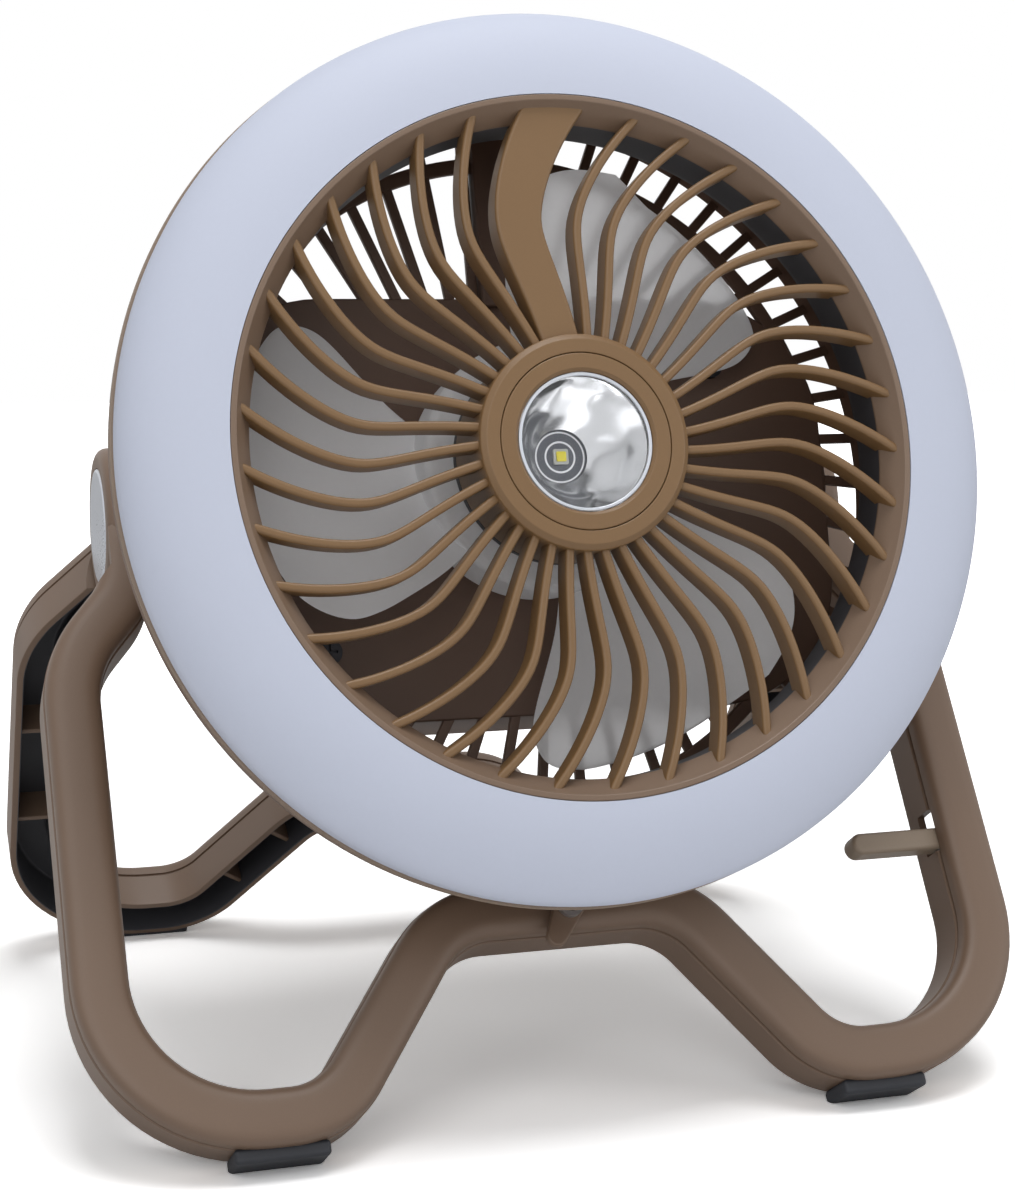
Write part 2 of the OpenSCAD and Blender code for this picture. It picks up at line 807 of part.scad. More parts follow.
module cover_screws() {
    color(steel) head() cover_screw_places() translate([0, 0, cover_back + cover_seat])
        rotate([180, 0, 0]) screw(pod_head_r, pod_head_h, pilot_r, cover_screw_len);
}

// Head: power and electronics

module cell_places() {
    pod() for (i = [0:cell_count - 1])
        translate([0, (i - (cell_count - 1) / 2) * cell_pitch,
            holder_back + holder_wall + cell_gap / 2 + cell_r]) rotate([0, 90, 0]) children();
}
module battery_cells() {
    color([0.25, 0.45, 0.65]) head() cell_places() union() {
        rod(cell_r, -cell_len / 2, cell_len / 2);
        rod(pole_r, cell_len / 2 - pole_h, cell_len / 2 + pole_h);
    }
}
module battery_holder() {
    long = cell_len + 2 * pole_h + 2 * cell_gap;
    color(dark) head() pod() difference() {
        box([long + 2 * holder_wall, cells_w + 2 * holder_wall, holder_depth],
            [0, 0, holder_back]);
        box([long, cells_w, holder_depth], [0, 0, holder_back + holder_wall]);
    }
}
module main_board() {
    color([0.12, 0.35, 0.2]) head() pod() box([pcb_w, pcb_h, board_t], [0, 0, pcb_z]);
}
module tact_switches() {
    color([0.2, 0.2, 0.22]) head() pod() for (w = [fan_button_w, light_button_w])
        translate([0, w, 0]) union() {
            box([switch_w, switch_w, switch_h / 2], [0, 0, pcb_z - switch_h / 2]);
            rod(stem_r, switch_tip, pcb_z - switch_h / 4);
        }
}
module usb_port() {
    mouth = cover_back + plug_t + slide_gap;
    color(steel) head() pod() difference() {
        box([port_l, port_h, pcb_z - mouth], [0, port_w, mouth]);
        box([port_l - board_t, port_h - board_t, pcb_z - mouth - board_t],
            [0, port_w, mouth - over]);
    }
}
module indicator_window() {
    color([0.8, 0.85, 0.9]) head() pod()
        box([window_l, window_h, pod_wall + window_proud + over],
            [0, window_w, cover_back - window_proud]);
}
module button(w) {
    face = cover_back - button_proud;
    flange = cover_floor + flange_gap;
    color(dark) head() pod() translate([0, w, 0]) turned([
        [0, face], [button_r - button_bevel, face], [button_r, face + button_bevel],
        [button_r, flange], [button_r + button_flange_w, flange],
        [button_r + button_flange_w, flange + button_flange_t],
        [stem_r, flange + button_flange_t], [stem_r, stem_end], [0, stem_end]
    ]);
}
module fan_button() {
    button(fan_button_w);
}
module light_button() {
    button(light_button_w);
}
module port_flap() {
    top = cover_back - slide_gap / 3;
    color(dark) head() difference() {
        union() {
            pod() box([flap_w, flap_h, flap_t], [0, port_w, top - flap_t]);
            pod() box([port_l - 2 * slide_gap, port_h - 3 * slide_gap, plug_t + over],
                [0, port_w, top - over]);
            flap_place() rod(barrel_r, -flap_w / 2, flap_w / 2);
        }
        flap_place() rod(flap_pin_r + fit, -flap_w, flap_w);
    }
}
module flap_pin() {
    half = flap_w / 2 + slide_gap + lug_t;
    color(steel) head() flap_place() rod(flap_pin_r, -half, half);
}

// Pivots

module bolt() {
    union() {
        rod(bolt_r, pod_boss_in - nut_t, bolt_end);
        rod(bolt_head_r, bolt_end - bolt_head_t, bolt_end);
    }
}
module pivot_bolt_left() {
    color(steel) pivot(-1) bolt();
}
module pivot_bolt_right() {
    color(steel) pivot(1) bolt();
}
module pivot_washers() {
    color([0.85, 0.85, 0.8]) for (side = [-1, 1]) pivot(side)
        tube(washer_r, bolt_r + fit, pod_half_w, pod_half_w + washer_t);
}
module pivot_nuts() {
    color(steel) for (side = [-1, 1]) pivot(side) difference() {
        translate([0, 0, pod_boss_in - nut_t]) cylinder(r = pivot_nut_r, h = nut_t, $fn = 6);
        rod(bolt_r + fit, pod_boss_in - nut_t - over, pod_boss_in + over);
    }
}
module pivot_cap() {
    base = front_eye_out - cap_t + fit;
    turned([
        [0, base], [cap_r, base], [cap_r, front_eye_out - cap_dome],
        [cap_r - 2 * cap_dome, front_eye_out], [cap_r / 2, front_eye_out + cap_dome],
        [0, front_eye_out + cap_dome]
    ]);
}
module pivot_cap_left() {
    color([0.86, 0.87, 0.88]) pivot(-1) pivot_cap();
}
module pivot_cap_right() {
    color([0.86, 0.87, 0.88]) pivot(1) pivot_cap();
}

// Stand: each frame is one band bent along a path, drawn in the frame's own plane

function path_right(arm_u) = [
    [arm_u, -arm_top], [arm_u, flare_rise * (leg_u - arm_u) - land_v], [leg_u, -land_v],
    [leg_u, -foot_v], [toe_u, -foot_v], [knee_u, -bar_v]
];
bend_radii = [0, flare_r, land_r, heel_r, toe_r, knee_r];
function path(arm_u) = concat(
    [for (p = path_right(arm_u)) [-p[0], p[1]]], reversed(path_right(arm_u)));
radii = concat(bend_radii, reversed(bend_radii));
function unit(v) = v / norm(v);
// Points of the bend at b, between a and c, on the side at distance s to the path's left
function bend(a, b, c, r, s) =
    let (
        d = unit(b - a), e = unit(c - b),
        turn = atan2(d[0] * e[1] - d[1] * e[0], d * e),
        way = turn < 0 ? -1 : 1,
        centre = b - d * r * tan(abs(turn) / 2) + r * way * [-d[1], d[0]],
        start = atan2(d[1], d[0]) - way * 90
    )
    [for (k = [0:bend_steps])
        centre + (r - way * s) * [cos(start + turn * k / bend_steps),
            sin(start + turn * k / bend_steps)]];
function side_line(pts, s) =
    let (n = len(pts), d = unit(pts[1] - pts[0]), e = unit(pts[n - 1] - pts[n - 2]))
    concat(
        [pts[0] + s * [-d[1], d[0]]],
        [for (i = [1:n - 2]) each bend(pts[i - 1], pts[i], pts[i + 1], radii[i], s)],
        [pts[n - 1] + s * [-e[1], e[0]]]);
module band(arm_u, w, z0, z1) {
    pts = path(arm_u);
    translate([0, 0, z0]) linear_extrude(z1 - z0)
        polygon(concat(side_line(pts, w / 2), reversed(side_line(pts, -w / 2))));
}
// Thin walls across the channel at the given shares of the way from p to q
module stiffeners(p, q, shares) {
    inner = band_w - channel_wall;
    for (t = shares) let (c = p + t * (q - p), d = q - p)
        translate(c) rotate([0, 0, atan2(d[1], d[0])])
            translate([-stiffener_t / 2, -inner / 2, 2 * channel_wall])
                cube([stiffener_t, inner, shoulder - 2 * channel_wall + over]);
}
module channel(arm_u) {
    difference() {
        union() {
            band(arm_u, band_w, open_gap, shoulder);
            band(arm_u, face_w, shoulder - over, channel_depth);
            band(arm_u, crown_w, channel_depth - over, face_top);
        }
        band(arm_u, band_w - 2 * channel_wall, open_gap - over, channel_depth - web_t);
    }
    for (side = [0, 1]) mirror([side, 0, 0]) {
        pts = path_right(arm_u);
        stiffeners(pts[2], pts[3], leg_stiffener_shares);
        stiffeners(pts[4], pts[5], slope_stiffener_shares);
    }
    stiffeners([-knee_u, -bar_v], [knee_u, -bar_v], bar_stiffener_shares);
}
module pad_block(gap) {
    for (side = [-1, 1])
        translate([side * pad_u - pad_len / 2 - gap, -pad_bottom - gap, open_gap - gap])
            cube([pad_len + 2 * gap, pad_t + gap, pad_depth - open_gap + 2 * gap]);
}
module across(side) {
    rotate([0, side * 90, 0]) children();
}
module front_frame() {
    pocket = bolt_end - bolt_head_t - slide_gap / 3;
    color(taupe) front_stand() difference() {
        union() {
            difference() {
                channel(front_arm_u);
                flare_trim(front_eye_out);
                for (side = [-1, 1]) across(side) rod(eye_r + eye_clear, pod_half_w, eye_split);
            }
            for (side = [-1, 1]) across(side) turned([
                [bolt_r + fit, front_eye_in], [eye_r, front_eye_in],
                [eye_r, front_eye_out - eye_bevel], [eye_r - eye_bevel, front_eye_out],
                [bolt_r + fit, front_eye_out]
            ]);
            translate([0, -latch_v, 0])
                rod(latch_boss_r, face_top - 2 * latch_screw_in + over, face_top);
            translate([leg_u, -hook_v, 0])
                rod(hook_boss_r, hook_low + hook_w + slide_gap, channel_depth - web_t / 2);
        }
        for (side = [-1, 1]) across(side) {
            rod(bolt_r + fit, front_eye_in - over, front_eye_out);
            rod(bolt_head_r + pocket_gap, pocket, front_eye_out);
            rod(cap_r + slide_gap / 2, front_eye_out - cap_t, front_eye_out + over);
        }
        pad_block(fit);
        translate([0, -latch_v, 0])
            rod(latch_screw_r + fit, face_top - latch_screw_in - over, face_top + over);
        translate([leg_u, -hook_v, 0]) rod(hook_pin_r + fit, hook_low, channel_depth - over);
        translate([leg_u - band_w / 2 - over, -hook_v - slot_down, hook_low - slide_gap])
            cube([channel_wall + 2 * over, slot_down + slot_up, hook_w + 2 * slide_gap]);
    }
}
// Cuts the arm's outer side back to the eye's face, above the line where the arm flares out
module flare_trim(u) {
    run = leg_u;
    corner = land_v - flare_rise * (leg_u - u) - band_w / 2 * (norm([1, flare_rise]));
    for (side = [0, 1]) mirror([side, 0, 0]) translate([0, 0, -over])
        linear_extrude(face_top + 2 * over) polygon([
            [u, over], [u, -corner], [u + run, -corner - flare_rise * run], [u + run, over]
        ]);
}
module rear_frame() {
    color(taupe) rear_stand() difference() {
        union() {
            difference() {
                channel(rear_arm_u);
                for (side = [-1, 1]) across(side) rod(eye_r + eye_clear, eye_split, leg_u);
                translate([-rear_eye_in, -arm_clear_v, -over])
                    cube([2 * rear_eye_in, arm_clear_v, face_top + 2 * over]);
            }
            for (side = [-1, 1]) across(side) tube(eye_r, bolt_r + fit, rear_eye_in, rear_eye_out);
        }
        for (side = [-1, 1]) across(side)
            rod(bolt_r + fit, rear_eye_in - over, rear_eye_out + over);
        pad_block(fit);
    }
}
module ground_cut() {
    intersection() {
        children();
        translate([-2 * leg_u, -2 * leg_u, 0]) cube([4 * leg_u, 4 * leg_u, 4 * leg_u]);
    }
}
module front_pads() {
    color([0.16, 0.17, 0.21]) ground_cut() front_stand() pad_block(0);
}
module rear_pads() {
    color([0.16, 0.17, 0.21]) ground_cut() rear_stand() pad_block(0);
}

// Stand: latch and hook

module latch_place() {
    front_stand() translate([0, -latch_v, face_top + latch_gap]) children();
}
module swivel_latch() {
    color(taupe) latch_place() rotate([0, 0, latch_turn - 90]) difference() {
        union() {
            link(latch_len - latch_w / 2, latch_w, 0, latch_t);
            rod(latch_boss_r, 0, latch_t);
        }
        rod(latch_screw_r + fit, -over, latch_t + over);
    }
}
module latch_screw() {
    color(steel) latch_place() translate([0, 0, latch_t + latch_gap])
        screw(latch_head_r, latch_head_h, latch_screw_r, latch_screw_in);
}
module hook_place() {
    front_stand() translate([leg_u, -hook_v, 0]) children();
}
module hang_hook() {
    color(taupe) hook_place() rotate([0, 0, 180]) difference() {
        link(hook_len - hook_t / 2, hook_t, hook_low, hook_low + hook_w);
        rod(hook_pin_r + fit, hook_low - over, hook_low + hook_w + over);
    }
}
module hook_pin() {
    color(steel) hook_place() union() {
        rod(hook_pin_r, hook_low - slide_gap - hook_head_h / 2, channel_depth - 2 * over);
        rod(hook_head_r, hook_low - slide_gap - hook_head_h, hook_low - slide_gap);
    }
}

front_frame();
front_pads();
pivot_cap_left();
pivot_cap_right();
latch_screw();
hook_pin();
swivel_latch();
hang_hook();
rear_frame();
rear_pads();
light_tray();
ring_board();
ring_leds();
ring_diffuser();
front_grille();
grille_screws();
spot_bezel();
spot_lens();
spot_reflector();
spot_led();
spot_board();
spot_cup();
fan_impeller();
impeller_nut();
motor_shaft();
motor();
motor_screws();
rear_guard();
pod_housing();
pod_screws();
pod_cover();
cover_screws();
battery_cells();
battery_holder();
main_board();
tact_switches();
usb_port();
indicator_window();
fan_button();
light_button();
port_flap();
flap_pin();
pivot_bolt_left();
pivot_bolt_right();
pivot_washers();
pivot_nuts();
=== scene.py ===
"""Looks of the portable camping fan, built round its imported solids.

Every piece is a surface worked out with numpy in millimetres, in the frame of the head or of
one stand frame, and placed in the row frame in metres.
"""

import json
import math

import bmesh
import bpy
import numpy as np
from bpy.props import FloatProperty, FloatVectorProperty, IntProperty, PointerProperty
from mathutils import Matrix, Vector


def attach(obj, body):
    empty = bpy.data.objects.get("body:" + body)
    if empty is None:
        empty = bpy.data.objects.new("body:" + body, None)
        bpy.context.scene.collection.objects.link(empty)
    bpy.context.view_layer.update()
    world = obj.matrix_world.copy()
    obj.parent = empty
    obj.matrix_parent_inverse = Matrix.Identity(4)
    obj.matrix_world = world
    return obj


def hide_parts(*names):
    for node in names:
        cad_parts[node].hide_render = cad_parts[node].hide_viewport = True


bl_info = {
    "name": "Camping Fan Looks",
    "version": (1, 0, 0),
    "blender": (4, 5, 0),
    "location": "3D View > Sidebar > Camping Fan",
    "description": "Moulded plastic, metal and rubber surfaces for a portable camping fan",
    "category": "Add Mesh",
}

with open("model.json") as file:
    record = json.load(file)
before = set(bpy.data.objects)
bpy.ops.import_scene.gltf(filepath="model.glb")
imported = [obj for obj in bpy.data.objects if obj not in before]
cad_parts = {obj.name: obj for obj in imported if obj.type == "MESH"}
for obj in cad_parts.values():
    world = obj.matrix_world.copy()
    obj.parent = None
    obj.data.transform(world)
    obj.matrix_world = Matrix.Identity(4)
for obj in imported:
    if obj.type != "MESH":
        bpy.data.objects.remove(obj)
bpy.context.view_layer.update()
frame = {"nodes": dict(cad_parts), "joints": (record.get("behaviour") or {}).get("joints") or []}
MM = 0.001


# Places, read from the frame


def joint(name):
    """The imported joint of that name."""
    return next(j for j in frame["joints"] if j["name"] == name)


ACROSS = np.array((1.0, 0.0, 0.0))
HINGE = np.array(joint("head_tilt")["pos_m"])
FACE_CENTRE = np.array(joint("fan_spin")["pos_m"])
FORWARD = np.array(joint("fan_spin")["axis"])
FACE_UP = np.cross(FORWARD, ACROSS)
FRONT_OUT = np.array(joint("latch_turn")["axis"])
REAR_OUT = FRONT_OUT * (1, -1, 1)

# Each place is an origin in metres and its three directions
HEAD = (FACE_CENTRE, np.stack((ACROSS, FACE_UP, FORWARD)))
FRONT_STAND = (HINGE, np.stack((ACROSS, np.cross(FRONT_OUT, ACROSS), FRONT_OUT)))
REAR_STAND = (HINGE, np.stack((-ACROSS, np.cross(REAR_OUT, -ACROSS), REAR_OUT)))
LATCH = (np.array(joint("latch_turn")["pos_m"]), FRONT_STAND[1])
HOOK = (np.array(joint("hook_lift")["pos_m"]), FRONT_STAND[1])


def pivot(side):
    """The place with its third direction outwards along the pivots, on the right for side 1."""
    return HINGE, np.stack((-side * FORWARD, FACE_UP, side * ACROSS))


def placed(points, place):
    """Points in millimetres of a place, turned into metres of the row frame."""
    origin, directions = place
    return origin + MM * (np.asarray(points) @ directions)


def corners_of(node, place):
    """Corners of a CAD node in millimetres, in a place's own directions."""
    mesh = frame["nodes"][node].data
    co = np.zeros(3 * len(mesh.vertices))
    mesh.vertices.foreach_get("co", co)
    return (co.reshape(-1, 3) - place[0]) @ place[1].T / MM


def extent(node, place):
    """Lowest and highest corner of a CAD node in millimetres, in a place's own directions."""
    local = corners_of(node, place)
    return local.min(0), local.max(0)


def radius_of(node, place, pick):
    """Least or greatest distance of a CAD node's corners from a place's third direction."""
    local = corners_of(node, place)
    return float(pick(np.hypot(local[:, 0], local[:, 1])))


# Sizes in millimetres. Some of those of the head's pieces come from the solids that they dress.
# A pair in an edge or groove is how far in it lies, and how high.

WIDE_STEPS = 256
RIM_R = radius_of("light_tray", HEAD, np.max)
TRAY_BACK = float(extent("light_tray", HEAD)[0][2])
RIM_BACK_EDGE = ((0.6, 0), (0.1, 0.3), (0, 0.6), (0, 0.7), (0.5, 0.8), (0.5, 1.2), (0, 1.3))
RIM_FRONT_EDGE = ((0, -0.4), (0.12, -0.12), (0.4, 0))
DIFFUSER_R = radius_of("ring_diffuser", HEAD, np.max)
DIFFUSER_IN = radius_of("ring_diffuser", HEAD, np.min) - 0.22
DIFFUSER_RISE = float(extent("ring_diffuser", HEAD)[1][2])
DIFFUSER_SKIRT = 3.5
DIFFUSER_WALL = 2.0

RING_R = 78.0
RING_IN = 73.0
RING_LIP = 1.3
RING_SLOPE = 5.5
FLANGE_R = radius_of("front_grille", HEAD, np.max)
FLANGE_BACK = -4.4
# Points at the end of the ring's profile, on its inner wall, which take painted shade
PAINTED_SHADE_POINTS = 7
HUB_R = 24.0
HUB_BORE = radius_of("front_grille", HEAD, np.min)
HUB_FACE = float(extent("front_grille", HEAD)[1][2])
HUB_BACK = -5.2
HUB_BEVEL = (1.3, 1.0)

# A rib's turn is in degrees, and its places are shares of its way out
RIB_PLACES = 37
RIB_PITCH = 360 / RIB_PLACES
RIB_FRONT = DIFFUSER_RISE - 1.7
RIB_DEPTH = 5.6
RIB_W = 2.0
RIB_NOSE = 0.75
RIB_KNEE = 0.519
RIB_PEAK = 13.7
RIB_DRIFT = 7.24
RIB_FOLD = 19.6
RIB_EASE = 2.4
RIB_ROUND = 0.985
RIB_TIP = 1.02
FIRST_RIB = 105.1
WIDE_RIB_AT = 90.8
WIDE_RIB_LEAN = 1.07
WIDE_RIB_W = (8.6, 12.4)
WIDE_RIB_FRONT = RIB_FRONT - 0.1
WIDE_RIB_NOSE = 0.8
WIDE_RIB_TIP = 1.12
RIB_GAP = 0.4

MOUTH_R = 15.3
THROAT_R = 6.1
REFLECTOR_DEPTH = 17.0
SPOT_BACK = HUB_FACE - 0.8 - REFLECTOR_DEPTH
SPOT_SEAT = HUB_FACE - 1.4
BEZEL_IN = MOUTH_R + 0.2
BEZEL_OUT = HUB_BORE - 0.15
LENS_RIM = (MOUTH_R - 0.7, MOUTH_R + 0.05, SPOT_SEAT + 0.1, SPOT_SEAT + 0.75)
LENS_R = MOUTH_R - 0.75
LENS_BACK = SPOT_SEAT - 0.95
LENS_FRONT = SPOT_SEAT + 0.4
LENS_CROWN = 0.3
BOWL_WALL = 0.8
BOARD_R = 9.0
BOARD_FACE = float(extent("spot_board", HEAD)[1][2])
STAR_RINGS = ((0.0034, 0.00022), (0.0056, 0.0002))
EMITTER_W = 3.5
EMITTER_T = 0.75
DIE_W = 2.3
DIE_T = 0.4

BLADE_R = 70.0
BLADE_T = 1.6
BLADE_DEPTH = 17.0
BLADE_BELLY = 0.1
BLADE_SPAN = 72.0
BLADE_FRONT = -6.0
BLADE_TURN = -57.0
ROOT_DROP = 4.0
FAN_HUB_R = 29.5
FAN_HUB_WALL = 2.0
FAN_HUB_ROUND = 2.6
FAN_BORE = 1.55
FAN_FRONT = -10.0
FAN_BACK = -25.0
FAN_GROOVE = ((8.6, 0), (9.2, -0.5), (22, -0.5), (22.6, 0))
FAN_BOSS = (4.5, 3.0, 4.0)
FRONT_EDGE_SHARES = (0.56, 0.54, 0.51, 0.48, 0.44, 0.36, 0.27, 0.14)
REAR_EDGE_SHARES = (0.34, 0.40, 0.46, 0.505, 0.52, 0.50, 0.46, 0.38)
REACH_SHARES = (0, 0.2, 0.4, 0.6, 0.76, 0.89, 0.965, 1)

GUARD_FRONT = -31.0
GUARD_BACK = -33.5
SHELL_LIP_R = RIM_R - 0.25
SHELL_LIP_H = 4.0
SHELL_LIP_W = 4.2
SHELL_STEP = 1.2
SHELL_BACK_R = 90.0
GUARD_RING_R = 79.0
GUARD_RING_W = 3.5
TRAY_IN = GUARD_RING_R - 0.85
SLATS = 48
SLAT_W = 2.4
SLAT_TURN = -6.0
FIRST_SLAT = 6.4
DUCT_AT = 90.0
DUCT_OFF = 2.5
DUCT_W = 9.5

POD_HALF_W = float(extent("pod_housing", HEAD)[1][0])
POD_H = 100.0
POD_DROP = 6.0
POD_CORNER = 32.0
POD_WALL = 2.4
POD_BACK = -79.5
POD_ROW = 15.0
POD_EDGE = ((0, -0.7), (0.2, -0.2), (0.7, 0))
SEAM = ((0.5, 0), (0.15, 0.15), (0, 0.5))
COVER_BACK = -91.5
COVER_FLOOR = -89.1
COVER_BEND = 4.0
COVER_DRAW = 9.0
COVER_BULGE = 1.15
COVER_FLOOR_ROWS = (22, 10, 7.7)
COVER_FACE_ROWS = (6, 20)
SCREW_U = 54.0
SCREW_W = 28.0
SCREW_HOLE_R = 3.3
POST_R = 4.05
POST_BACK = COVER_BACK + 7.0
BUTTONS = (("fan_button", 24.0 - POD_DROP), ("light_button", -2.0 - POD_DROP))
BUTTON_R = 8.0
BUTTON_ROUND = 0.8
BUTTON_DISH_R = 5.6
BUTTON_DISH = 0.45
BUTTON_FLANGE_R = 9.3
BUTTON_FLANGE_T = 1.2
BUTTON_STEM = (2.0, 4.2)
BUTTON_FACE = COVER_BACK - 1.4
WINDOW_W = 11.0 - POD_DROP
WINDOW = (16.0, 3.4)
PORT_W = -26.0 - POD_DROP
PORT_HOLE = (9.6, 3.9)
FLAP = (17.0, 10.0)
FLAP_T = 2.0
FLAP_BACK = COVER_BACK - 0.1
FLAP_PLUG = (8.4, 2.4)
FLAP_NAIL = (6.0, 1.1)
FLAP_PIN_R = 1.6
HINGE_W = -20.2 - POD_DROP
LUG = (2.0, 3.2)
LUG_ROWS = (-95.0, -90.6)
LUG_U = 9.8
CLEAR = 0.1

LEG_U = 106.5
ARM_TOP = 8.0
LAND_V = 42.1
FLARE_RISE = 1.2
FOOT_V = 150.0
TOE_U = 58.8
KNEE_U = 28.1
BAR_V = 108.9
BEND_RADII = (20.0, 28.0, 33.3, 19.0, 21.0)
BAND_W = 13.0
BAND_IN = 0.3
BAND_LIP = ((0.3, 0), (0.09, 0.09), (0, 0.3))
CHANNEL_WALL = 1.9
CHANNEL_FLOOR = 13.3
FLOOR_ROUND = 0.7
OUTER_ROWS = (3.0, 6.0, 9.0)
INNER_ROWS = (3.0, 4.5, 6.0, 7.5, 9.0, 10.4, 11.8, 12.2)
SHOULDER = 12.1
GROOVE = ((0, -1.2), (0.2, -0.95), (0.75, -0.85), (0.9, -0.5), (0.75, -0.15), (0.25, 0))
CROWN_H = 4.6
CROWN_POWER = 3.4
CROWN_TOP = SHOULDER + CROWN_H
STIFFENER_T = 1.4
STIFFENER_ROWS = (3.8, 13.6)
LEG_SHARES = (0.29, 0.605)
SLOPE_SHARES = (0.3, 0.7)
BAR_SHARES = (0.28, 0.72)

# The eyes lie along the pivots, each from its inner face to its outer one
EYE_R = 19.0
EYE_BORE = 5.05
EYE_SINK = 0.5
EYE_ROOM = 1.2
EYE_ROUND = 2.6
REAR_EYE = (79.2, 86.7)
FRONT_EYE = (87.2, 95.0)
EYE_SPLIT = 86.95
EYE_CUT = (76.0, 98.5)
FRONT_CUT_TOP = 14.0
REAR_CUT = (12.0, -50.0)
OVER = 0.6
CAP_R = 14.0
CAP_T = 2.6
CAP_GAP = 0.15
CAP_ROUND = 0.7
PAD_U = 71.1
PAD_LEN = 21.0
PAD_TOP_V = 155.4
PAD_OUT = 12.4
PAD_BOTTOM_V = 158.8
BOSS_V = BAR_V + 1.6
BOSS_R = 3.6
BOSS_ROOT = 5.3
FINGER_LEN = 7.8
FINGER_TIP_R = 2.4
FINGER_T = 2.2
FINGER_TURN = -121.0
HOOK_SLOT = (3.1, 10.6, 0.9)
HOOK_SLOT_ROWS = (5.5, 12.3)
HOOK_SLOT_AT = (LEG_U - BAND_W / 2 + 0.95, -96.8)
HOOK_LEN = 26.3
HOOK_R = 2.7

# The stage, in metres, watts and degrees
FLOOR_LIFT = 2.0
FLOOR_FADE = (0.3, 0.7)
FLOOR_HALF = 3.0
FLOOR_LINES = 61
SKY_LEVEL = 0.34
LAMP_AIM = (0, 0, 0.11)
LAMPS = (
    ("Top", (0.05, -0.2, 1.25), 0.6, 6.8),
    ("Front", (-0.7, -1.15, 0.9), 1.2, 6.2),
    ("Fill", (1.15, -0.95, 0.6), 0.9, 3),
)
CAMERA_TURN = -17.30
CAMERA_LIFT = 9.02
CAMERA_ROLL = 0.27
CAMERA_AWAY = 0.55846
CAMERA_AIM = (0.00320, 0.0, -0.02940)
CAMERA_LENS = 64.83
CAMERA_SHIFT = (0.02004, 0.0243)


# Surfaces


def bends(points, radii, steps):
    """Arcs at the corners of an outline, and the left normal along each: a corner is cut back
    by radius times the tangent of half its turn, and its arc lies at the radius from a centre
    that stands off the cut by the radius."""
    points = np.asarray(points, float)
    radii = np.broadcast_to(np.asarray(radii, float), len(points))
    before, after = np.roll(points, 1, 0), np.roll(points, -1, 0)
    into = (points - before) / np.linalg.norm(points - before, axis=1, keepdims=True)
    out = (after - points) / np.linalg.norm(after - points, axis=1, keepdims=True)
    turn = np.arctan2(into[:, 0] * out[:, 1] - into[:, 1] * out[:, 0], (into * out).sum(1))
    reach = (radii * np.where(turn < 0, -1.0, 1.0))[:, None]
    heading = np.arctan2(into[:, 1], into[:, 0])[:, None]
    heading = heading + turn[:, None] * np.linspace(0, 1, steps + 1)
    left = np.stack((-np.sin(heading), np.cos(heading)), -1)
    start = points - into * (radii * np.tan(np.abs(turn) / 2))[:, None]
    centre = start + reach * left[:, 0]
    return centre[:, None] - reach[:, None] * left, left


def closed_loop(points, radii, steps=5):
    """A closed outline with round corners."""
    return bends(points, radii, steps)[0].reshape(-1, 2)


def arc(x, y, r, start, stop, count):
    """Points on a circle about x and y, from one angle in degrees to another."""
    a = np.radians(np.linspace(start, stop, count))
    return list(zip(x + r * np.cos(a), y + r * np.sin(a)))


def circle(count):
    """Directions evenly round a circle."""
    t = 2 * math.pi * np.arange(count) / count
    return np.stack((np.cos(t), np.sin(t)), -1)


def open_path(points, radii, steps):
    """An open line with round bends, and its left normals: both ends stay as they are."""
    points = np.asarray(points, float)
    arcs, left = bends(points, radii, steps)
    ends = points[[0, -1]]
    along = np.stack((points[1] - points[0], points[-1] - points[-2]))
    along /= np.linalg.norm(along, axis=1, keepdims=True)
    sides = np.stack((-along[:, 1], along[:, 0]), 1)
    return (
        np.concatenate((ends[:1], arcs[1:-1].reshape(-1, 2), ends[1:])),
        np.concatenate((sides[:1], left[1:-1].reshape(-1, 2), sides[1:])),
    )


def grid(rows, cols, close_rows=False, close_cols=True):
    """Four-cornered faces of a grid of points, rows times cols, joined up where it closes."""
    r = np.arange(rows if close_rows else rows - 1)[:, None]
    c = np.arange(cols if close_cols else cols - 1)[None]
    r2, c2 = (r + 1) % rows, (c + 1) % cols
    corners = (r * cols + c, r2 * cols + c, r2 * cols + c2, r * cols + c2)
    size = (r.shape[0], c.shape[1])
    return np.stack([np.broadcast_to(k, size) for k in corners], -1).reshape(-1, 4)


def strip_caps(rows, cols):
    """Faces that shut both ends of a grid whose loop doubles back: point k meets point -1-k."""
    k = np.arange(cols // 2 - 1)
    first = np.stack((k, k + 1, cols - 2 - k, cols - 1 - k), -1)
    return np.concatenate((first[:, ::-1], first + (rows - 1) * cols))


def revolved(profile, segments=192):
    """A profile of radius and height turned round the third direction. It closes on itself,
    or along the axis where it starts and ends there."""
    profile = np.asarray(profile, float)
    angle = 2 * math.pi * np.arange(segments)[:, None] / segments
    r, z = profile[:, 0][None], profile[:, 1][None] + 0 * angle
    on_axis = profile[0, 0] == 0 and profile[-1, 0] == 0
    return np.stack((r * np.cos(angle), r * np.sin(angle), z), -1).reshape(-1, 3), grid(
        segments, len(profile), close_rows=True, close_cols=not on_axis
    )


def shut(rings):
    """Closed rings of points joined one to the next, the first and last shut by a fan about
    its middle. A fan's faces name their last point twice."""
    rings = np.asarray(rings, float)
    rows, cols = rings.shape[:2]
    k = np.arange(cols)
    n = rows * cols
    low = np.stack((k, (k + 1) % cols, np.full(cols, n), np.full(cols, n)), -1)
    top = np.stack(((k + 1) % cols, k, np.full(cols, n + 1), np.full(cols, n + 1)), -1)
    top[:, :2] += (rows - 1) * cols
    points = np.concatenate((rings.reshape(-1, 3), rings[[0, -1]].mean(1)))
    return points, np.concatenate((grid(rows, cols), low, top))


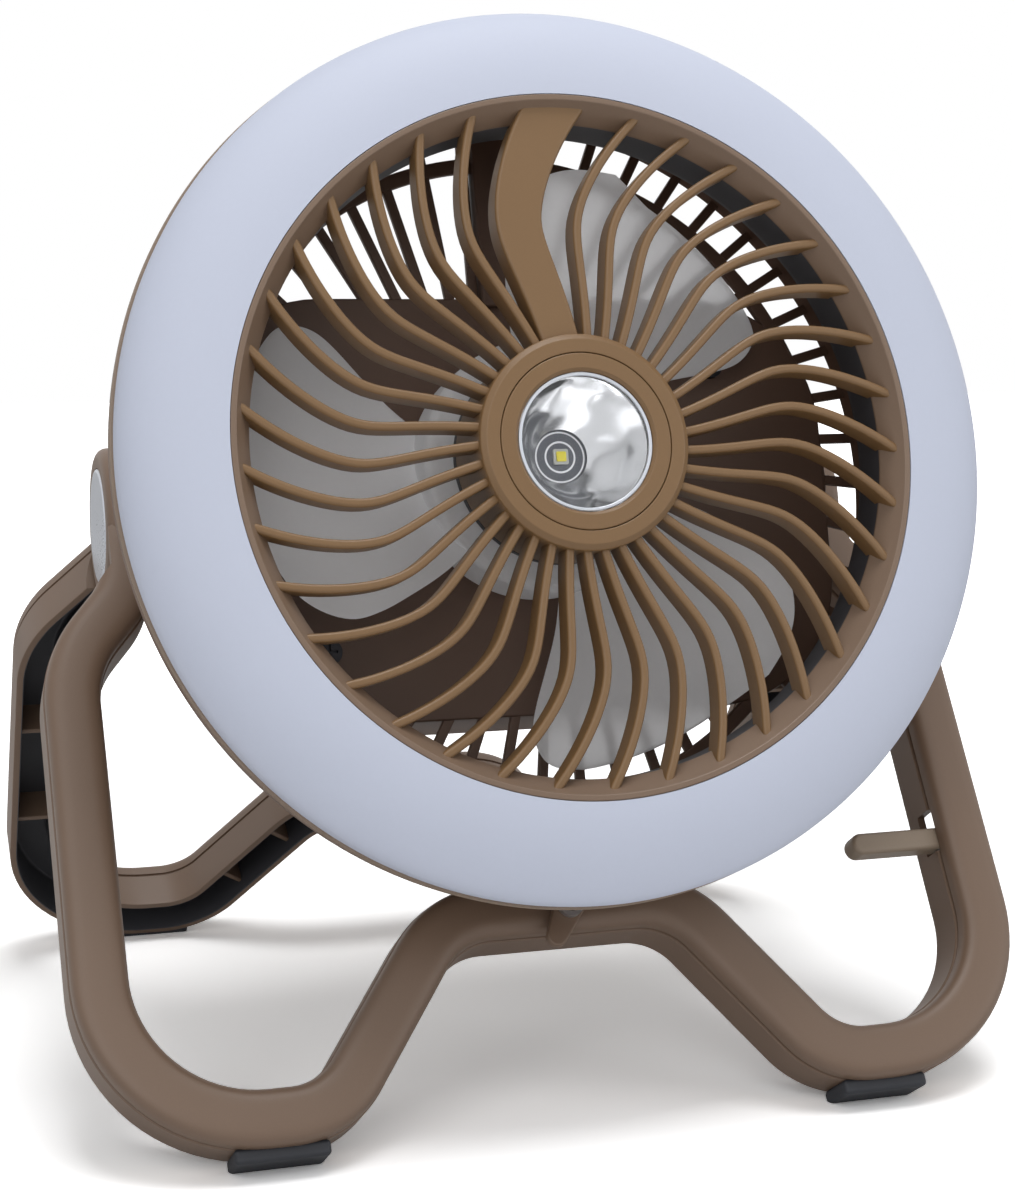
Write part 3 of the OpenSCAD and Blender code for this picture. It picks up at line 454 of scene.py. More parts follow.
def lofted(outlines, heights):
    """Closed outlines stacked along the third direction and shut at both ends."""
    outlines = np.asarray(outlines, float)
    z = np.asarray(heights, float)[:, None, None] + 0 * outlines[:, :, :1]
    return shut(np.concatenate((outlines, z), -1))


def swept(line, sides, section):
    """A closed section of sideways offsets and heights carried along a line in the plane."""
    flat = line[:, None] + np.asarray(section)[None, :, :1] * sides[:, None]
    z = np.asarray(section)[None, :, 1:] + 0 * flat[:, :, :1]
    return np.concatenate((flat, z), -1)


def laid(part):
    """A part whose third direction is turned to the first, as for a pin that lies across."""
    return part[0][:, [2, 0, 1]], part[1]


def round_rect(w, h, r, steps=8):
    """A rectangle of that width and height with round corners."""
    corners = np.array([(-w, -h), (w, -h), (w, h), (-w, h)]) / 2
    return closed_loop(corners, r, steps)


def eased(low, top, edge, steps=4, rows=0):
    """How far an outline draws in and at what height, for a block whose two ends round over:
    the inset falls as one less the sine of an angle while the height moves by its cosine."""
    a = np.linspace(0, math.pi / 2, steps + 1)
    sin, cos = edge * (1 - np.sin(a)), edge * (1 - np.cos(a))
    between = np.linspace(low + edge, top - edge, rows + 2)[1:-1]
    return np.concatenate((sin, 0 * between, cos)), np.concatenate((low + cos, between, top - sin))


def slab(size, r, low, top, edge=0.5, at=(0, 0), rows=0, steps=6):
    """A round-cornered block of that width and height whose two ends round over."""
    inset, rise = eased(low, top, edge, rows=rows)
    w, h = size
    outlines = [round_rect(w - 2 * i, h - 2 * i, max(r - i, 0.05), steps) + at for i in inset]
    return lofted(outlines, rise)


def peg(r, low, top, edge=0.3, at=(0, 0), segments=48):
    """A round plate or pin whose two ends round over, as a loft of circles."""
    inset, rise = eased(low, top, edge)
    return lofted([(r - i) * circle(segments) + at for i in inset], rise)


def finger(length, r_root, r_tip, low, top, edge):
    """A rounded link along the first direction: on the far half its outline is the tip's
    circle and on the near half the root's, and both ends round over."""
    inset, rise = eased(low, top, edge)
    ray = circle(48)
    far = ray[:, 0] > 0
    reach = np.outer(far * length, (1, 0))
    radii = [np.where(far, r_tip - i, r_root - i)[:, None] for i in inset]
    return lofted([r * ray + reach for r in radii], rise)


def swung(part, degrees, at=(0, 0)):
    """A part turned in the plane of its first two directions, then moved to a point there."""
    a = math.radians(degrees)
    turn = np.array(((math.cos(a), math.sin(a), 0), (-math.sin(a), math.cos(a), 0), (0, 0, 1)))
    return part[0] @ turn + np.array((*at, 0)), part[1]


def spun(part, count, start=0.0):
    """Copies of a part round the third direction."""
    points, faces = part
    a = np.radians(start + 360 * np.arange(count) / count)
    turn = np.zeros((count, 3, 3))
    turn[:, 0, 0] = turn[:, 1, 1] = np.cos(a)
    turn[:, 0, 1], turn[:, 1, 0], turn[:, 2, 2] = np.sin(a), -np.sin(a), 1
    shift = np.arange(count)[:, None, None] * len(points)
    return (points[None] @ turn).reshape(-1, 3), (faces[None] + shift).reshape(-1, 4)


def moved(part, by):
    """A part shifted by that many millimetres."""
    return part[0] + np.asarray(by, float), part[1]


def joined(parts):
    """Several parts as one list of points and one of faces."""
    shifts = np.cumsum([0] + [len(p) for p, f in parts[:-1]])
    return (
        np.concatenate([p for p, f in parts]),
        np.concatenate([f + s for (p, f), s in zip(parts, shifts)]),
    )


def smooth_through(values, samples):
    """A smooth curve through evenly spaced values: each stretch is the cubic whose ends have
    the slope of their neighbours' chord."""
    v = np.asarray(values, float)
    v = np.concatenate((v[:1] * 2 - v[1:2], v, v[-1:] * 2 - v[-2:-1]))
    t = np.linspace(0, len(values) - 1, samples)
    k = np.minimum(t.astype(int), len(values) - 2)
    f = t - k
    a, b, c, d = v[k], v[k + 1], v[k + 2], v[k + 3]
    return 0.5 * (
        2 * b + (c - a) * f + (2 * a - 5 * b + 4 * c - d) * f**2 + (3 * b - a - 3 * c + d) * f**3
    )


def new_object(name, part, place, materials, crease=30.0, ground=False, marks=None):
    """A mesh object at the origin from points and faces. Points that meet are merged, so that
    poles and seams close, faces turn outwards, and edges sharper than crease stay crisp. On the
    ground nothing reaches below zero height. Marks say which material each face takes."""
    points, faces = part
    co = placed(points, place)
    if ground:
        co[:, 2] = np.maximum(co[:, 2], 0)
    mesh = bpy.data.meshes.new(name)
    mesh.vertices.add(len(points))
    mesh.vertices.foreach_set("co", co.astype(np.float32).ravel())
    three = faces[:, 2] == faces[:, 3]
    corners = np.concatenate((faces[~three].ravel(), faces[three, :3].ravel()))
    sides = np.concatenate((np.full((~three).sum(), 4), np.full(three.sum(), 3)))
    mesh.loops.add(len(corners))
    mesh.loops.foreach_set("vertex_index", corners.astype(np.int32))
    mesh.polygons.add(len(faces))
    mesh.polygons.foreach_set("loop_start", (np.cumsum(sides) - sides).astype(np.int32))
    if marks is not None:
        marks = np.concatenate((marks[~three], marks[three]))
        mesh.polygons.foreach_set("material_index", marks.astype(np.int32))
    mesh.update(calc_edges=True)
    shape = bmesh.new()
    shape.from_mesh(mesh)
    bmesh.ops.remove_doubles(shape, verts=shape.verts, dist=1e-6)
    bmesh.ops.dissolve_degenerate(shape, edges=shape.edges, dist=1e-7)
    bmesh.ops.recalc_face_normals(shape, faces=shape.faces)
    shape.to_mesh(mesh)
    shape.free()
    for material in materials:
        mesh.materials.append(material)
    made = bpy.data.objects.new(name, mesh)
    bpy.context.scene.collection.objects.link(made)
    return smoothed(made, crease)


def smoothed(piece, crease=30.0):
    """Smooth shading, with the edges sharper than crease kept crisp."""
    mesh = piece.data
    mesh.polygons.foreach_set("use_smooth", np.ones(len(mesh.polygons), bool))
    mesh.set_sharp_from_angle(angle=math.radians(crease))
    return piece


def carved(piece, cutters):
    """The piece with every cutter's solid taken away, as one clean mesh."""
    for part, place in cutters:
        cutter = new_object("cutter", part, place, [])
        cut = piece.modifiers.new("Cut", "BOOLEAN")
        cut.operation, cut.solver, cut.object = "DIFFERENCE", "EXACT", cutter
    whole = bpy.context.evaluated_depsgraph_get()
    mesh = bpy.data.meshes.new_from_object(piece.evaluated_get(whole))
    for cut in piece.modifiers:
        bpy.data.objects.remove(cut.object)
    piece.modifiers.clear()
    piece.data = mesh
    return smoothed(piece)


def merged(piece, *others):
    """One piece whose mesh also holds the others' shells."""
    shape = bmesh.new()
    for each in (piece, *others):
        shape.from_mesh(each.data)
    shape.to_mesh(piece.data)
    shape.free()
    for each in others:
        bpy.data.objects.remove(each)
    return smoothed(piece)


def dressed(piece, body, slot, *nodes):
    """Gives a finished piece its body, hiding the CAD nodes it stands for. The slot is not used."""
    weigh = piece.modifiers.new("Flat faces", "WEIGHTED_NORMAL")
    weigh.keep_sharp = True
    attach(piece, body)
    if nodes:
        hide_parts(*nodes)
    return piece


def fitted(name, part, place, materials, body, slot, *nodes, **build):
    """A new piece with its body and the CAD nodes that it stands for."""
    return dressed(new_object(name, part, place, materials, **build), body, slot, *nodes)


def coat_nodes(material, *nodes):
    """Puts a material on CAD nodes that keep their own shape."""
    for node in nodes:
        mesh = frame["nodes"][node].data
        mesh.materials.clear()
        mesh.materials.append(material)


# Materials


def srgb(r, g, b):
    """A colour as seen on a screen, 0 to 255, turned into the linear values of a shader."""
    c = np.array((r, g, b)) / 255
    return tuple(np.where(c <= 0.04045, c / 12.92, ((c + 0.055) / 1.055) ** 2.4))


class Graph:
    """A short way to add and link shader nodes."""

    def __init__(self, tree):
        self.tree = tree

    def fill(self, node, values):
        """Links or sets a node's inputs, by name or number."""
        for key, value in values.items():
            if isinstance(value, bpy.types.NodeSocket):
                self.tree.links.new(value, node.inputs[key])
            else:
                node.inputs[key].default_value = value

    def node(self, kind, values=None, **settings):
        """A node of that kind: settings are its own, the values those of its inputs."""
        made = self.tree.nodes.new(kind)
        for key, value in settings.items():
            setattr(made, key, value)
        self.fill(made, values or {})
        return made

    def group(self, make, **values):
        """The outputs of a shared effect with those values."""
        return self.node("ShaderNodeGroup", values, node_tree=effect_group(make)).outputs

    def math(self, operation, *values):
        """The result of an operation on values."""
        return self.node("ShaderNodeMath", dict(enumerate(values)), operation=operation).outputs[0]

    def vector(self, operation, *values, **named):
        """Both results, the vector and the value, of an operation on vectors."""
        values = {**dict(enumerate(values)), **named}
        return self.node("ShaderNodeVectorMath", values, operation=operation).outputs

    def place(self):
        """The place on the object, in metres."""
        return self.node("ShaderNodeTexCoord").outputs["Object"]

    def noise(self, at, scale, **values):
        """Smooth noise of that scale."""
        values = {"Vector": at, "Scale": scale, **values}
        return self.node("ShaderNodeTexNoise", values).outputs["Fac"]

    def cells(self, at, scale, **settings):
        """Distance to the nearest of scattered points, of that scale."""
        values = {"Vector": at, "Scale": scale}
        return self.node("ShaderNodeTexVoronoi", values, **settings).outputs["Distance"]

    def ranged(self, value, low, high, start=0.0, stop=1.0):
        """The value, with the range from start to stop brought to that from low to high."""
        ends = {"From Min": start, "From Max": stop, "To Min": low, "To Max": high}
        return self.node("ShaderNodeMapRange", {"Value": value, **ends}).outputs["Result"]

    def mixed(self, share, first, second):
        """A mix of two colours by a share."""
        values = {"Factor": share, 6: first, 7: second}
        return self.node("ShaderNodeMix", values, data_type="RGBA").outputs[2]


def effect(name, inputs, outputs):
    """A new shader node group, its graph, and its two ends. Inputs have their defaults, and
    outputs how many numbers they hold: one for a value and four for a colour."""
    kinds = {1: "NodeSocketFloat", 3: "NodeSocketVector", 4: "NodeSocketColor"}
    tree = bpy.data.node_groups.new(name, "ShaderNodeTree")
    for label, value in inputs.items():
        kind = kinds[np.size(value)]
        tree.interface.new_socket(label, in_out="INPUT", socket_type=kind).default_value = value
    for label, numbers in outputs.items():
        tree.interface.new_socket(label, in_out="OUTPUT", socket_type=kinds[numbers])
    graph = Graph(tree)
    return tree, graph, graph.node("NodeGroupInput").outputs, graph.node("NodeGroupOutput")


# What an effect with colour, relief and roughness gives
SURFACE = {"Colour": 4, "Height": 1, "Roughness": 1}


def moulded_grain():
    """Effect of a spark-eroded mould: fine even grain, with slow drift of tone over it."""
    inputs = {"Grain": 2600.0, "Colour": (0.5, 0.5, 0.5, 1), "Fleck": 0.2, "Roughness": 0.5}
    tree, g, start, end = effect("Moulded grain", inputs, SURFACE)
    at = g.place()
    fine = g.noise(at, start["Grain"], Detail=3.0, Roughness=0.6)
    both = g.math("ADD", fine, g.noise(at, 26.0, Detail=2.0))
    swing = g.math("ADD", both, -1.0)
    share = g.math("MULTIPLY_ADD", swing, start["Fleck"], 1.0)
    tint = g.vector("SCALE", start["Colour"], Scale=share)["Vector"]
    rough = g.math("MULTIPLY_ADD", swing, 0.12, start["Roughness"])
    g.fill(end, {"Colour": tint, "Height": fine, "Roughness": rough})
    return tree


def brushed_lines():
    """Effect of brushing or turning: streaks that are long one way and fine the other."""
    inputs = {"Stretch": (60.0, 60.0, 3000.0), "Colour": (0.6, 0.6, 0.6, 1), "Roughness": 0.35}
    tree, g, start, end = effect("Brushed lines", inputs, SURFACE)
    streak = g.noise(g.vector("MULTIPLY", g.place(), start["Stretch"])["Vector"], 1.0, Detail=4.0)
    share = g.ranged(streak, 0.82, 1.12)
    tint = g.vector("SCALE", start["Colour"], Scale=share)["Vector"]
    rough = g.math("MULTIPLY_ADD", streak, 0.25, start["Roughness"])
    g.fill(end, {"Colour": tint, "Height": streak, "Roughness": rough})
    return tree


def axis_rings():
    """Effect of a ring printed round the fan axis: a point's distance from the axis is the
    length of its cross product with the axis direction."""
    inputs = {
        "Centre": tuple(FACE_CENTRE),
        "Axis": tuple(FORWARD),
        "Radius": 0.005,
        "Width": 0.0005,
    }
    tree, g, start, end = effect("Axis rings", inputs, {"Mask": 1})
    arm = g.vector("SUBTRACT", g.place(), start["Centre"])["Vector"]
    off = g.vector("CROSS_PRODUCT", arm, start["Axis"])["Vector"]
    gap = g.math("SUBTRACT", g.vector("LENGTH", off)["Value"], start["Radius"])
    g.fill(end, {"Mask": g.math("LESS_THAN", g.math("ABSOLUTE", gap), start["Width"])})
    return tree


def crumpled_foil():
    """Effect of a facetted bright reflector: soft cells under smooth noise, with painted
    reflection.
    """
    tree, g, start, end = effect("Crumpled foil", {"Cells": 105.0}, {"Colour": 4, "Height": 1})
    at = g.place()
    cells = g.cells(at, start["Cells"], feature="SMOOTH_F1")
    both = g.math("ADD", cells, g.noise(at, 75.0, Detail=0.0))
    # The colour's bright and dark cells are painted reflection of the facets; the same cells give
    # the real relief
    g.fill(end, {"Colour": g.ranged(both, 0.62, 0.95, stop=1.6), "Height": both})
    return tree


def board_tracks():
    """Effect of a printed board: scattered square pads, with the tracks' colour between them."""
    inputs = {"Board": (0.02, 0.12, 0.05, 1), "Track": (0.05, 0.25, 0.1, 1)}
    tree, g, start, end = effect("Board tracks", inputs, {"Colour": 4, "Height": 1})
    lines = g.ranged(g.cells(g.place(), 240.0, distance="MANHATTAN"), 0.0, 1.0, 0.3, 0.36)
    g.fill(end, {"Colour": g.mixed(lines, start["Board"], start["Track"]), "Height": lines})
    return tree


def effect_group(make):
    """The effect's node group, built the first time that it is asked for."""
    name = make.__name__.replace("_", " ").capitalize()
    return bpy.data.node_groups.get(name) or make()


def new_material(name):
    """An empty node material with its shader and output."""
    material = bpy.data.materials.new(name)
    material.use_nodes = True
    material.node_tree.nodes.clear()
    g = Graph(material.node_tree)
    shader = g.node("ShaderNodeBsdfPrincipled")
    g.node("ShaderNodeOutputMaterial", {"Surface": shader.outputs["BSDF"]})
    return material, g, shader


def skinned(name, make, values, strength, depth, **plain):
    """A material with the colour and relief of a shared effect, and its roughness where it has
    one. The relief's depth is in mm, and other values go on the shader's own sockets."""
    if name in bpy.data.materials:
        return bpy.data.materials[name]
    material, g, shader = new_material(name)
    skin = g.group(make, **values)
    bump = g.node(
        "ShaderNodeBump", {"Height": skin["Height"], "Strength": strength, "Distance": depth * MM}
    )
    g.fill(shader, {"Base Color": skin["Colour"], "Normal": bump.outputs["Normal"]})
    if "Roughness" in skin:
        g.fill(shader, {"Roughness": skin["Roughness"]})
    g.fill(shader, plain)
    return material


def moulded(name, colour, roughness=0.5, fleck=0.2, grain=2600.0, relief=0.02, **plain):
    """Moulded plastic or rubber."""
    values = {"Grain": grain, "Colour": (*colour, 1), "Fleck": fleck, "Roughness": roughness}
    return skinned(name, moulded_grain, values, 0.35, relief, **plain)


def brushed(name, colour, roughness=0.3, stretch=(60.0, 60.0, 3000.0)):
    """Turned, drawn or brushed metal."""
    values = {"Stretch": stretch, "Colour": (*colour, 1), "Roughness": roughness}
    return skinned(name, brushed_lines, values, 0.2, 0.02, Metallic=1.0)


def foil_material():
    """The spotlight's bright metallised reflector."""
    return skinned("Reflector foil", crumpled_foil, {}, 0.7, 1.7, Metallic=1.0, Roughness=0.16)


def lens_material():
    """Clear moulded plastic."""
    material, g, shader = new_material("Clear lens")
    rough = g.ranged(g.noise(g.place(), 90.0), 0.01, 0.05)
    g.fill(shader, {"Base Color": (0.97, 0.98, 1.0, 1), "Transmission Weight": 1.0, "IOR": 1.3})
    g.fill(shader, {"Roughness": rough})
    return material


def star_material():
    """The spotlight's round metal board: satin grey with two white rings round the light."""
    material, g, shader = new_material("Star board")
    shade = (*srgb(98, 100, 106), 1)
    grey = g.group(brushed_lines, Colour=shade, Stretch=(900.0, 900.0, 900.0))
    near, far = (g.group(axis_rings, Radius=r, Width=w)["Mask"] for r, w in STAR_RINGS)
    mix = g.mixed(g.math("ADD", near, far), grey["Colour"], (0.9, 0.9, 0.9, 1))
    g.fill(shader, {"Base Color": mix, "Roughness": grey["Roughness"], "Metallic": 0.3})
    return material


def printed_board(name, board, track):
    """A printed board in its lacquer, with the tracks just proud."""
    values = {"Board": (*board, 1), "Track": (*track, 1)}
    return skinned(name, board_tracks, values, 0.5, 0.05, Roughness=0.32)


# The user's sizes and colours


def colour(label, about, r, g, b):
    """A colour property whose default is a screen colour."""
    return FloatVectorProperty(
        name=label, description=about, subtype="COLOR", size=3, min=0, max=1, default=srgb(r, g, b)
    )


def size(label, about, default, low, high):
    """A size property in millimetres."""
    about += ", in mm"
    return FloatProperty(name=label, description=about, default=default, min=low, max=high)


class FanColours(bpy.types.PropertyGroup):
    """Colours of the moulded pieces"""

    frame: colour("Frames", "Moulded stand frames", 112, 91, 75)
    # Painted shade: a dark tone on the frames' hollow side and the grille ring's inner wall
    lining: colour("Frame lining", "Hollow side of the frames", 60, 60, 64)
    grille: colour("Grille", "Front grille's ribs and hub", 121, 92, 59)
    ring: colour("Grille ring", "Sloped ring round the ribs", 120, 99, 82)
    rim: colour("Rim", "Tray behind the ring light", 134, 116, 100)
    diffuser: colour("Diffuser", "Milky ring light cover", 196, 202, 219)
    guard: colour("Guard", "Rear shell and pod", 104, 80, 66)
    caps: colour("Pivot caps", "Round caps over the pivots", 208, 212, 220)
    pads: colour("Foot pads", "Rubber feet", 38, 40, 46)
    impeller: colour("Impeller", "Fan blades and hub", 236, 236, 238)
    dark: colour("Dark plastic", "Buttons, flap and spotlight cup", 40, 39, 40)


# Roughness, fleck, grain and relief in mm of each moulded colour
FINISHES = {
    "frame": (0.46, 0.14, 3000.0, 0.03),
    # Finish of the painted shade on hollow sides and inner walls
    "lining": (0.55, 0.16, 2600.0, 0.03),
    "grille": (0.42, 0.12, 2400.0, 0.02),
    "ring": (0.42, 0.12, 2400.0, 0.02),
    "rim": (0.48, 0.1, 2600.0, 0.02),
    "diffuser": (0.62, 0.03, 900.0, 0.01),
    "guard": (0.5, 0.14, 2400.0, 0.03),
    "caps": (0.3, 0.06, 1800.0, 0.01),
    "pads": (0.62, 0.2, 1700.0, 0.05),
    "impeller": (0.5, 0.05, 900.0, 0.01),
    "dark": (0.45, 0.14, 2200.0, 0.03),
}
# What some of them have on the shader as well
EXTRAS = {
    "caps": {"Metallic": 0.35},
    "impeller": {
        "Transmission Weight": 0.5,
        "IOR": 1.15,
        # Painted light: a faint white glow on the blades and hub, for light that passes through
        # them
        "Emission Color": (1.0, 0.99, 0.98, 1),
        "Emission Strength": 0.04,
    },
}


class FanSizes(bpy.types.PropertyGroup):
    """Sizes of the finished surfaces"""

    rib_w: size("Rib width", "Width of a grille rib", RIB_W, 1.4, 2.6)
    rib_depth: size("Rib depth", "Depth of the grille ribs", RIB_DEPTH, 5, 9)
    blade_t: size("Blade", "Thickness of a fan blade at its middle", BLADE_T, 1, 2.2)
    slat_w: size("Slat", "Width of a rear guard slat", SLAT_W, 2, 3)
    slats: IntProperty(
        name="Slats", description="Slats in the rear guard", default=SLATS, min=36, max=54
    )
    crown: size("Crown", "Height of the frames' rounded face", CROWN_H, 3, 4.6)
    pad_edge: size("Pad edge", "Rounding of the foot pads", 1.0, 0.4, 2)


def sizes():
    """The scene's sizes."""
    return bpy.context.scene.fan_sizes


def plastic(which):
    """Moulded plastic in one of the user's colours."""
    shade = tuple(getattr(bpy.context.scene.fan_colours, which))
    return moulded("Moulded " + which, shade, *FINISHES[which], **EXTRAS.get(which, {}))


# Stand


def frame_path(arm_u):
    """Corners of the band's right half, and its middle line and left normals from the left
    arm's top to the right arm's, seen from outside."""
    right = [
        (arm_u, ARM_TOP),
        (arm_u, FLARE_RISE * (LEG_U - arm_u) - LAND_V),
        (LEG_U, -LAND_V),
        (LEG_U, -FOOT_V),
        (TOE_U, -FOOT_V),
        (KNEE_U, -BAR_V),
    ]
    left = [(-u, w) for u, w in right]
    radii = (0, *BEND_RADII)
    return right, *open_path(left + right[::-1], radii + radii[::-1], 20)


def band_section(crown):
    """Outline of the moulded channel: walls with rounded lips, a fine step, and a face whose
    crown is a superellipse over a groove. The first half runs outside from lip to lip, the
    second inside, with as many points."""
    power = 2 / CROWN_POWER
    half, hollow = BAND_W / 2, BAND_W / 2 - CHANNEL_WALL
    face = half - GROOVE[-1][0]
    outside = [(half - i, BAND_IN + w) for i, w in BAND_LIP]
    outside += [(half, w) for w in OUTER_ROWS]
    outside += [(half - i, SHOULDER + w) for i, w in GROOVE]
    for a in np.linspace(0.0, math.pi / 2, 11)[1:]:
        rise = SHOULDER + crown * math.sin(a) ** power
        outside.append((face * max(math.cos(a), 0) ** power, rise))
    inside = [(hollow + i, BAND_IN + w) for i, w in BAND_LIP]
    inside += [(hollow, w) for w in INNER_ROWS]
    corner = hollow - FLOOR_ROUND
    inside += arc(corner, CHANNEL_FLOOR - FLOOR_ROUND, FLOOR_ROUND, 0, 90, 5)
    inside += [(x, CHANNEL_FLOOR) for x in np.linspace(corner, 0, 7)[1:]]
    chains = []
    for chain in (np.array(outside), np.array(inside)):
        chains.append(np.concatenate((chain[:-1], chain[::-1] * (-1, 1))))
    return np.concatenate((chains[0], chains[1][::-1])), len(chains[0])


def band(arm_u, crown):
    """The whole channel carried along its line, and which faces take the hollow's painted shade."""
    right, line, sides = frame_path(arm_u)
    section, outer = band_section(crown)
    points = swept(line, sides, section)
    rows, cols = points.shape[:2]
    caps = strip_caps(rows, cols)
    faces = np.concatenate((grid(rows, cols), caps))
    column = np.tile(np.arange(cols), rows - 1)
    # Faces of the hollow side take the second material, the painted shade
    marks = np.concatenate(((column >= outer) & (column < cols - 1), np.zeros(len(caps), bool)))
    return right, (points.reshape(-1, 3), faces), marks.astype(int)


def stiffeners(right):
    """Thin walls across the hollow side, at shares of the legs, slopes and cross bar."""
    u, w = np.array(right).T
    corners = [np.stack((s * u, w), -1) for s in (1, -1)]
    runs = []
    for corner in corners:
        runs += [(corner[2], corner[3], t) for t in LEG_SHARES]
        runs += [(corner[4], corner[5], t) for t in SLOPE_SHARES]
    runs += [(corners[0][5], corners[1][5], t) for t in BAR_SHARES]
    wall = slab((STIFFENER_T, BAND_W - CHANNEL_WALL), 0.3, *STIFFENER_ROWS, 0.4, steps=3)
    parts = []
    for p, q, share in runs:
        along = q - p
        parts.append(swung(wall, math.degrees(math.atan2(along[1], along[0])), p + share * along))
    return joined(parts)


def prism(corners, low, top):
    """A plain prism over an outline."""
    return lofted([corners, corners], (low, top))


def front_cutters():
    """What is taken off the front band: its arms' inner side, and the slot of the hook."""
    u = FRONT_EYE[1]
    low = FLARE_RISE * (LEG_U - u) + BAND_W / 2 * math.hypot(1, FLARE_RISE) - LAND_V
    trim = [(u, FRONT_CUT_TOP), (u, low), (u + LEG_U, low - FLARE_RISE * LEG_U)]
    trim = np.array([*trim, (u + LEG_U, FRONT_CUT_TOP)])
    w, h, r = HOOK_SLOT
    slot = slab((w, h), r, *HOOK_SLOT_ROWS, at=HOOK_SLOT_AT)
    return [prism(trim * (s, 1), -OVER, CROWN_TOP + OVER) for s in (-1, 1)] + [slot]


def rear_cutters():
    """What is taken off the rear band: all that stands between its arms, for the head."""
    u, (top, low) = REAR_EYE[0], REAR_CUT
    box = np.array([(-u, top), (u, top), (u, low), (-u, low)])
    return [prism(box, -OVER, CROWN_TOP + OVER)]


def front_eye():
    """Profile of a front frame's eye: a rounded boss with a seat for its cap."""
    inner, outer = FRONT_EYE
    seat = CAP_R + CAP_GAP
    bevel = arc(EYE_R - EYE_ROUND, outer - EYE_ROUND, EYE_ROUND, 0, 90, 7)
    ring = [(EYE_BORE, inner), (EYE_R - 0.3, inner), (EYE_R, inner + 0.3), *bevel]
    ring += [(seat + 0.2, outer), (seat, outer - 0.2)]
    return ring + [(seat, outer - CAP_T), (EYE_BORE, outer - CAP_T)]


def rear_eye():
    """Profile of a rear frame's eye, which lies between the front one and the head."""
    inner, outer = REAR_EYE
    corners = [(EYE_BORE, inner), (EYE_R, inner), (EYE_R, outer), (EYE_BORE, outer)]
    return closed_loop(corners, (0.2, 0.7, 0.7, 0.2))


def stand_frames():
    """Both frames, each carved round its eyes, with the eyes as turned bosses."""
    # The second material is painted shade for the channel's hollow side
    taupe, lining = plastic("frame"), plastic("lining")
    bore, wide = EYE_R - EYE_SINK, EYE_R + EYE_ROOM
    post = peg(BOSS_R, BOSS_ROOT, CROWN_TOP - 0.05, at=(0, -BOSS_V))
    for side, place, eye, radii, cutters, profile, extra in (
        ("front", FRONT_STAND, FRONT_EYE, (wide, bore), front_cutters(), front_eye(), [post]),
        ("rear", REAR_STAND, REAR_EYE, (bore, wide), rear_cutters(), rear_eye(), []),
    ):
        right, shell, marks = band(sum(eye) / 2, sizes().crown)
        piece = new_object(side + "_frame_band", shell, place, [taupe, lining], marks=marks)
        (near, far), (start, stop) = radii, EYE_CUT
        step = [(0, start), (near, start), (near, EYE_SPLIT)]
        step = revolved([*step, (far, EYE_SPLIT), (far, stop), (0, stop)], 96)
        carved(piece, [(step, pivot(s)) for s in (-1, 1)] + [(part, place) for part in cutters])
        others = [new_object("walls", stiffeners(right), place, [taupe])]
        others += [new_object("eye", revolved(profile), pivot(s), [taupe]) for s in (-1, 1)]
        others += [new_object("boss", part, place, [taupe]) for part in extra]
        dressed(merged(piece, *others), side + "_stand", "frame_taupe", side + "_frame")


def foot_pads():
    """Four rubber pads, each a rounded block pressed flat where it stands on the ground."""
    edge = sizes().pad_edge
    size, middle = (PAD_LEN, PAD_BOTTOM_V - PAD_TOP_V), -(PAD_TOP_V + PAD_BOTTOM_V) / 2
    both = joined(
        [slab(size, edge, 0.3, PAD_OUT, edge, at=(s * PAD_U, middle), rows=40) for s in (-1, 1)]
    )
    for side, place in (("front", FRONT_STAND), ("rear", REAR_STAND)):
        name, node, body = side + "_foot_pads", side + "_pads", side + "_stand"
        fitted(name, both, place, [plastic("pads")], body, "pads", node, ground=True)


def pivot_caps():
    """Satin caps that sit in the front eyes, faintly domed with a rounded rim."""
    low, top = FRONT_EYE[1] - CAP_T + 0.05, FRONT_EYE[1] + 0.4
    edge = CAP_R - CAP_ROUND
    rim = arc(edge, top - CAP_GAP - CAP_ROUND, CAP_ROUND, 0, 90, 6)
    face = [(r, top - CAP_GAP * (r / edge) ** 2) for r in np.linspace(CAP_R - 1.2, 0, 10)]
    disc = revolved([(0, low), (CAP_R, low), *rim, *face])
    for side, name in ((-1, "pivot_cap_left"), (1, "pivot_cap_right")):
        fitted(name + "_disc", disc, pivot(side), [plastic("caps")], "front_stand", "caps", name)


def latch_and_hook():
    """The swivelling finger on the cross bar and the hanging lever in the right leg."""
    link = swung(finger(FINGER_LEN, BOSS_R, FINGER_TIP_R, 0, FINGER_T, 0.5), FINGER_TURN)
    coat = [plastic("frame")]
    fitted("latch_finger", link, LATCH, coat, "swivel_latch", "frame_taupe", "swivel_latch")
    low, top = extent("hang_hook", HOOK)
    lever = swung(finger(HOOK_LEN, HOOK_R, HOOK_R, low[2], top[2], 1.1), 180)
    warm = moulded("Moulded hook", srgb(142, 126, 109), 0.44, 0.14, 2600.0, 0.03)
    fitted("hook_lever", lever, HOOK, [warm], "hang_hook", "frame_taupe", "hang_hook")


# Head


def dome(outer, inner, base, top, steps=20):
    """A quarter ellipse of radius and height, from the outer edge up to the inner one."""
    a = np.linspace(0, math.pi / 2, steps + 1)
    return np.stack((inner + (outer - inner) * np.cos(a), base + (top - base) * np.sin(a)), -1)


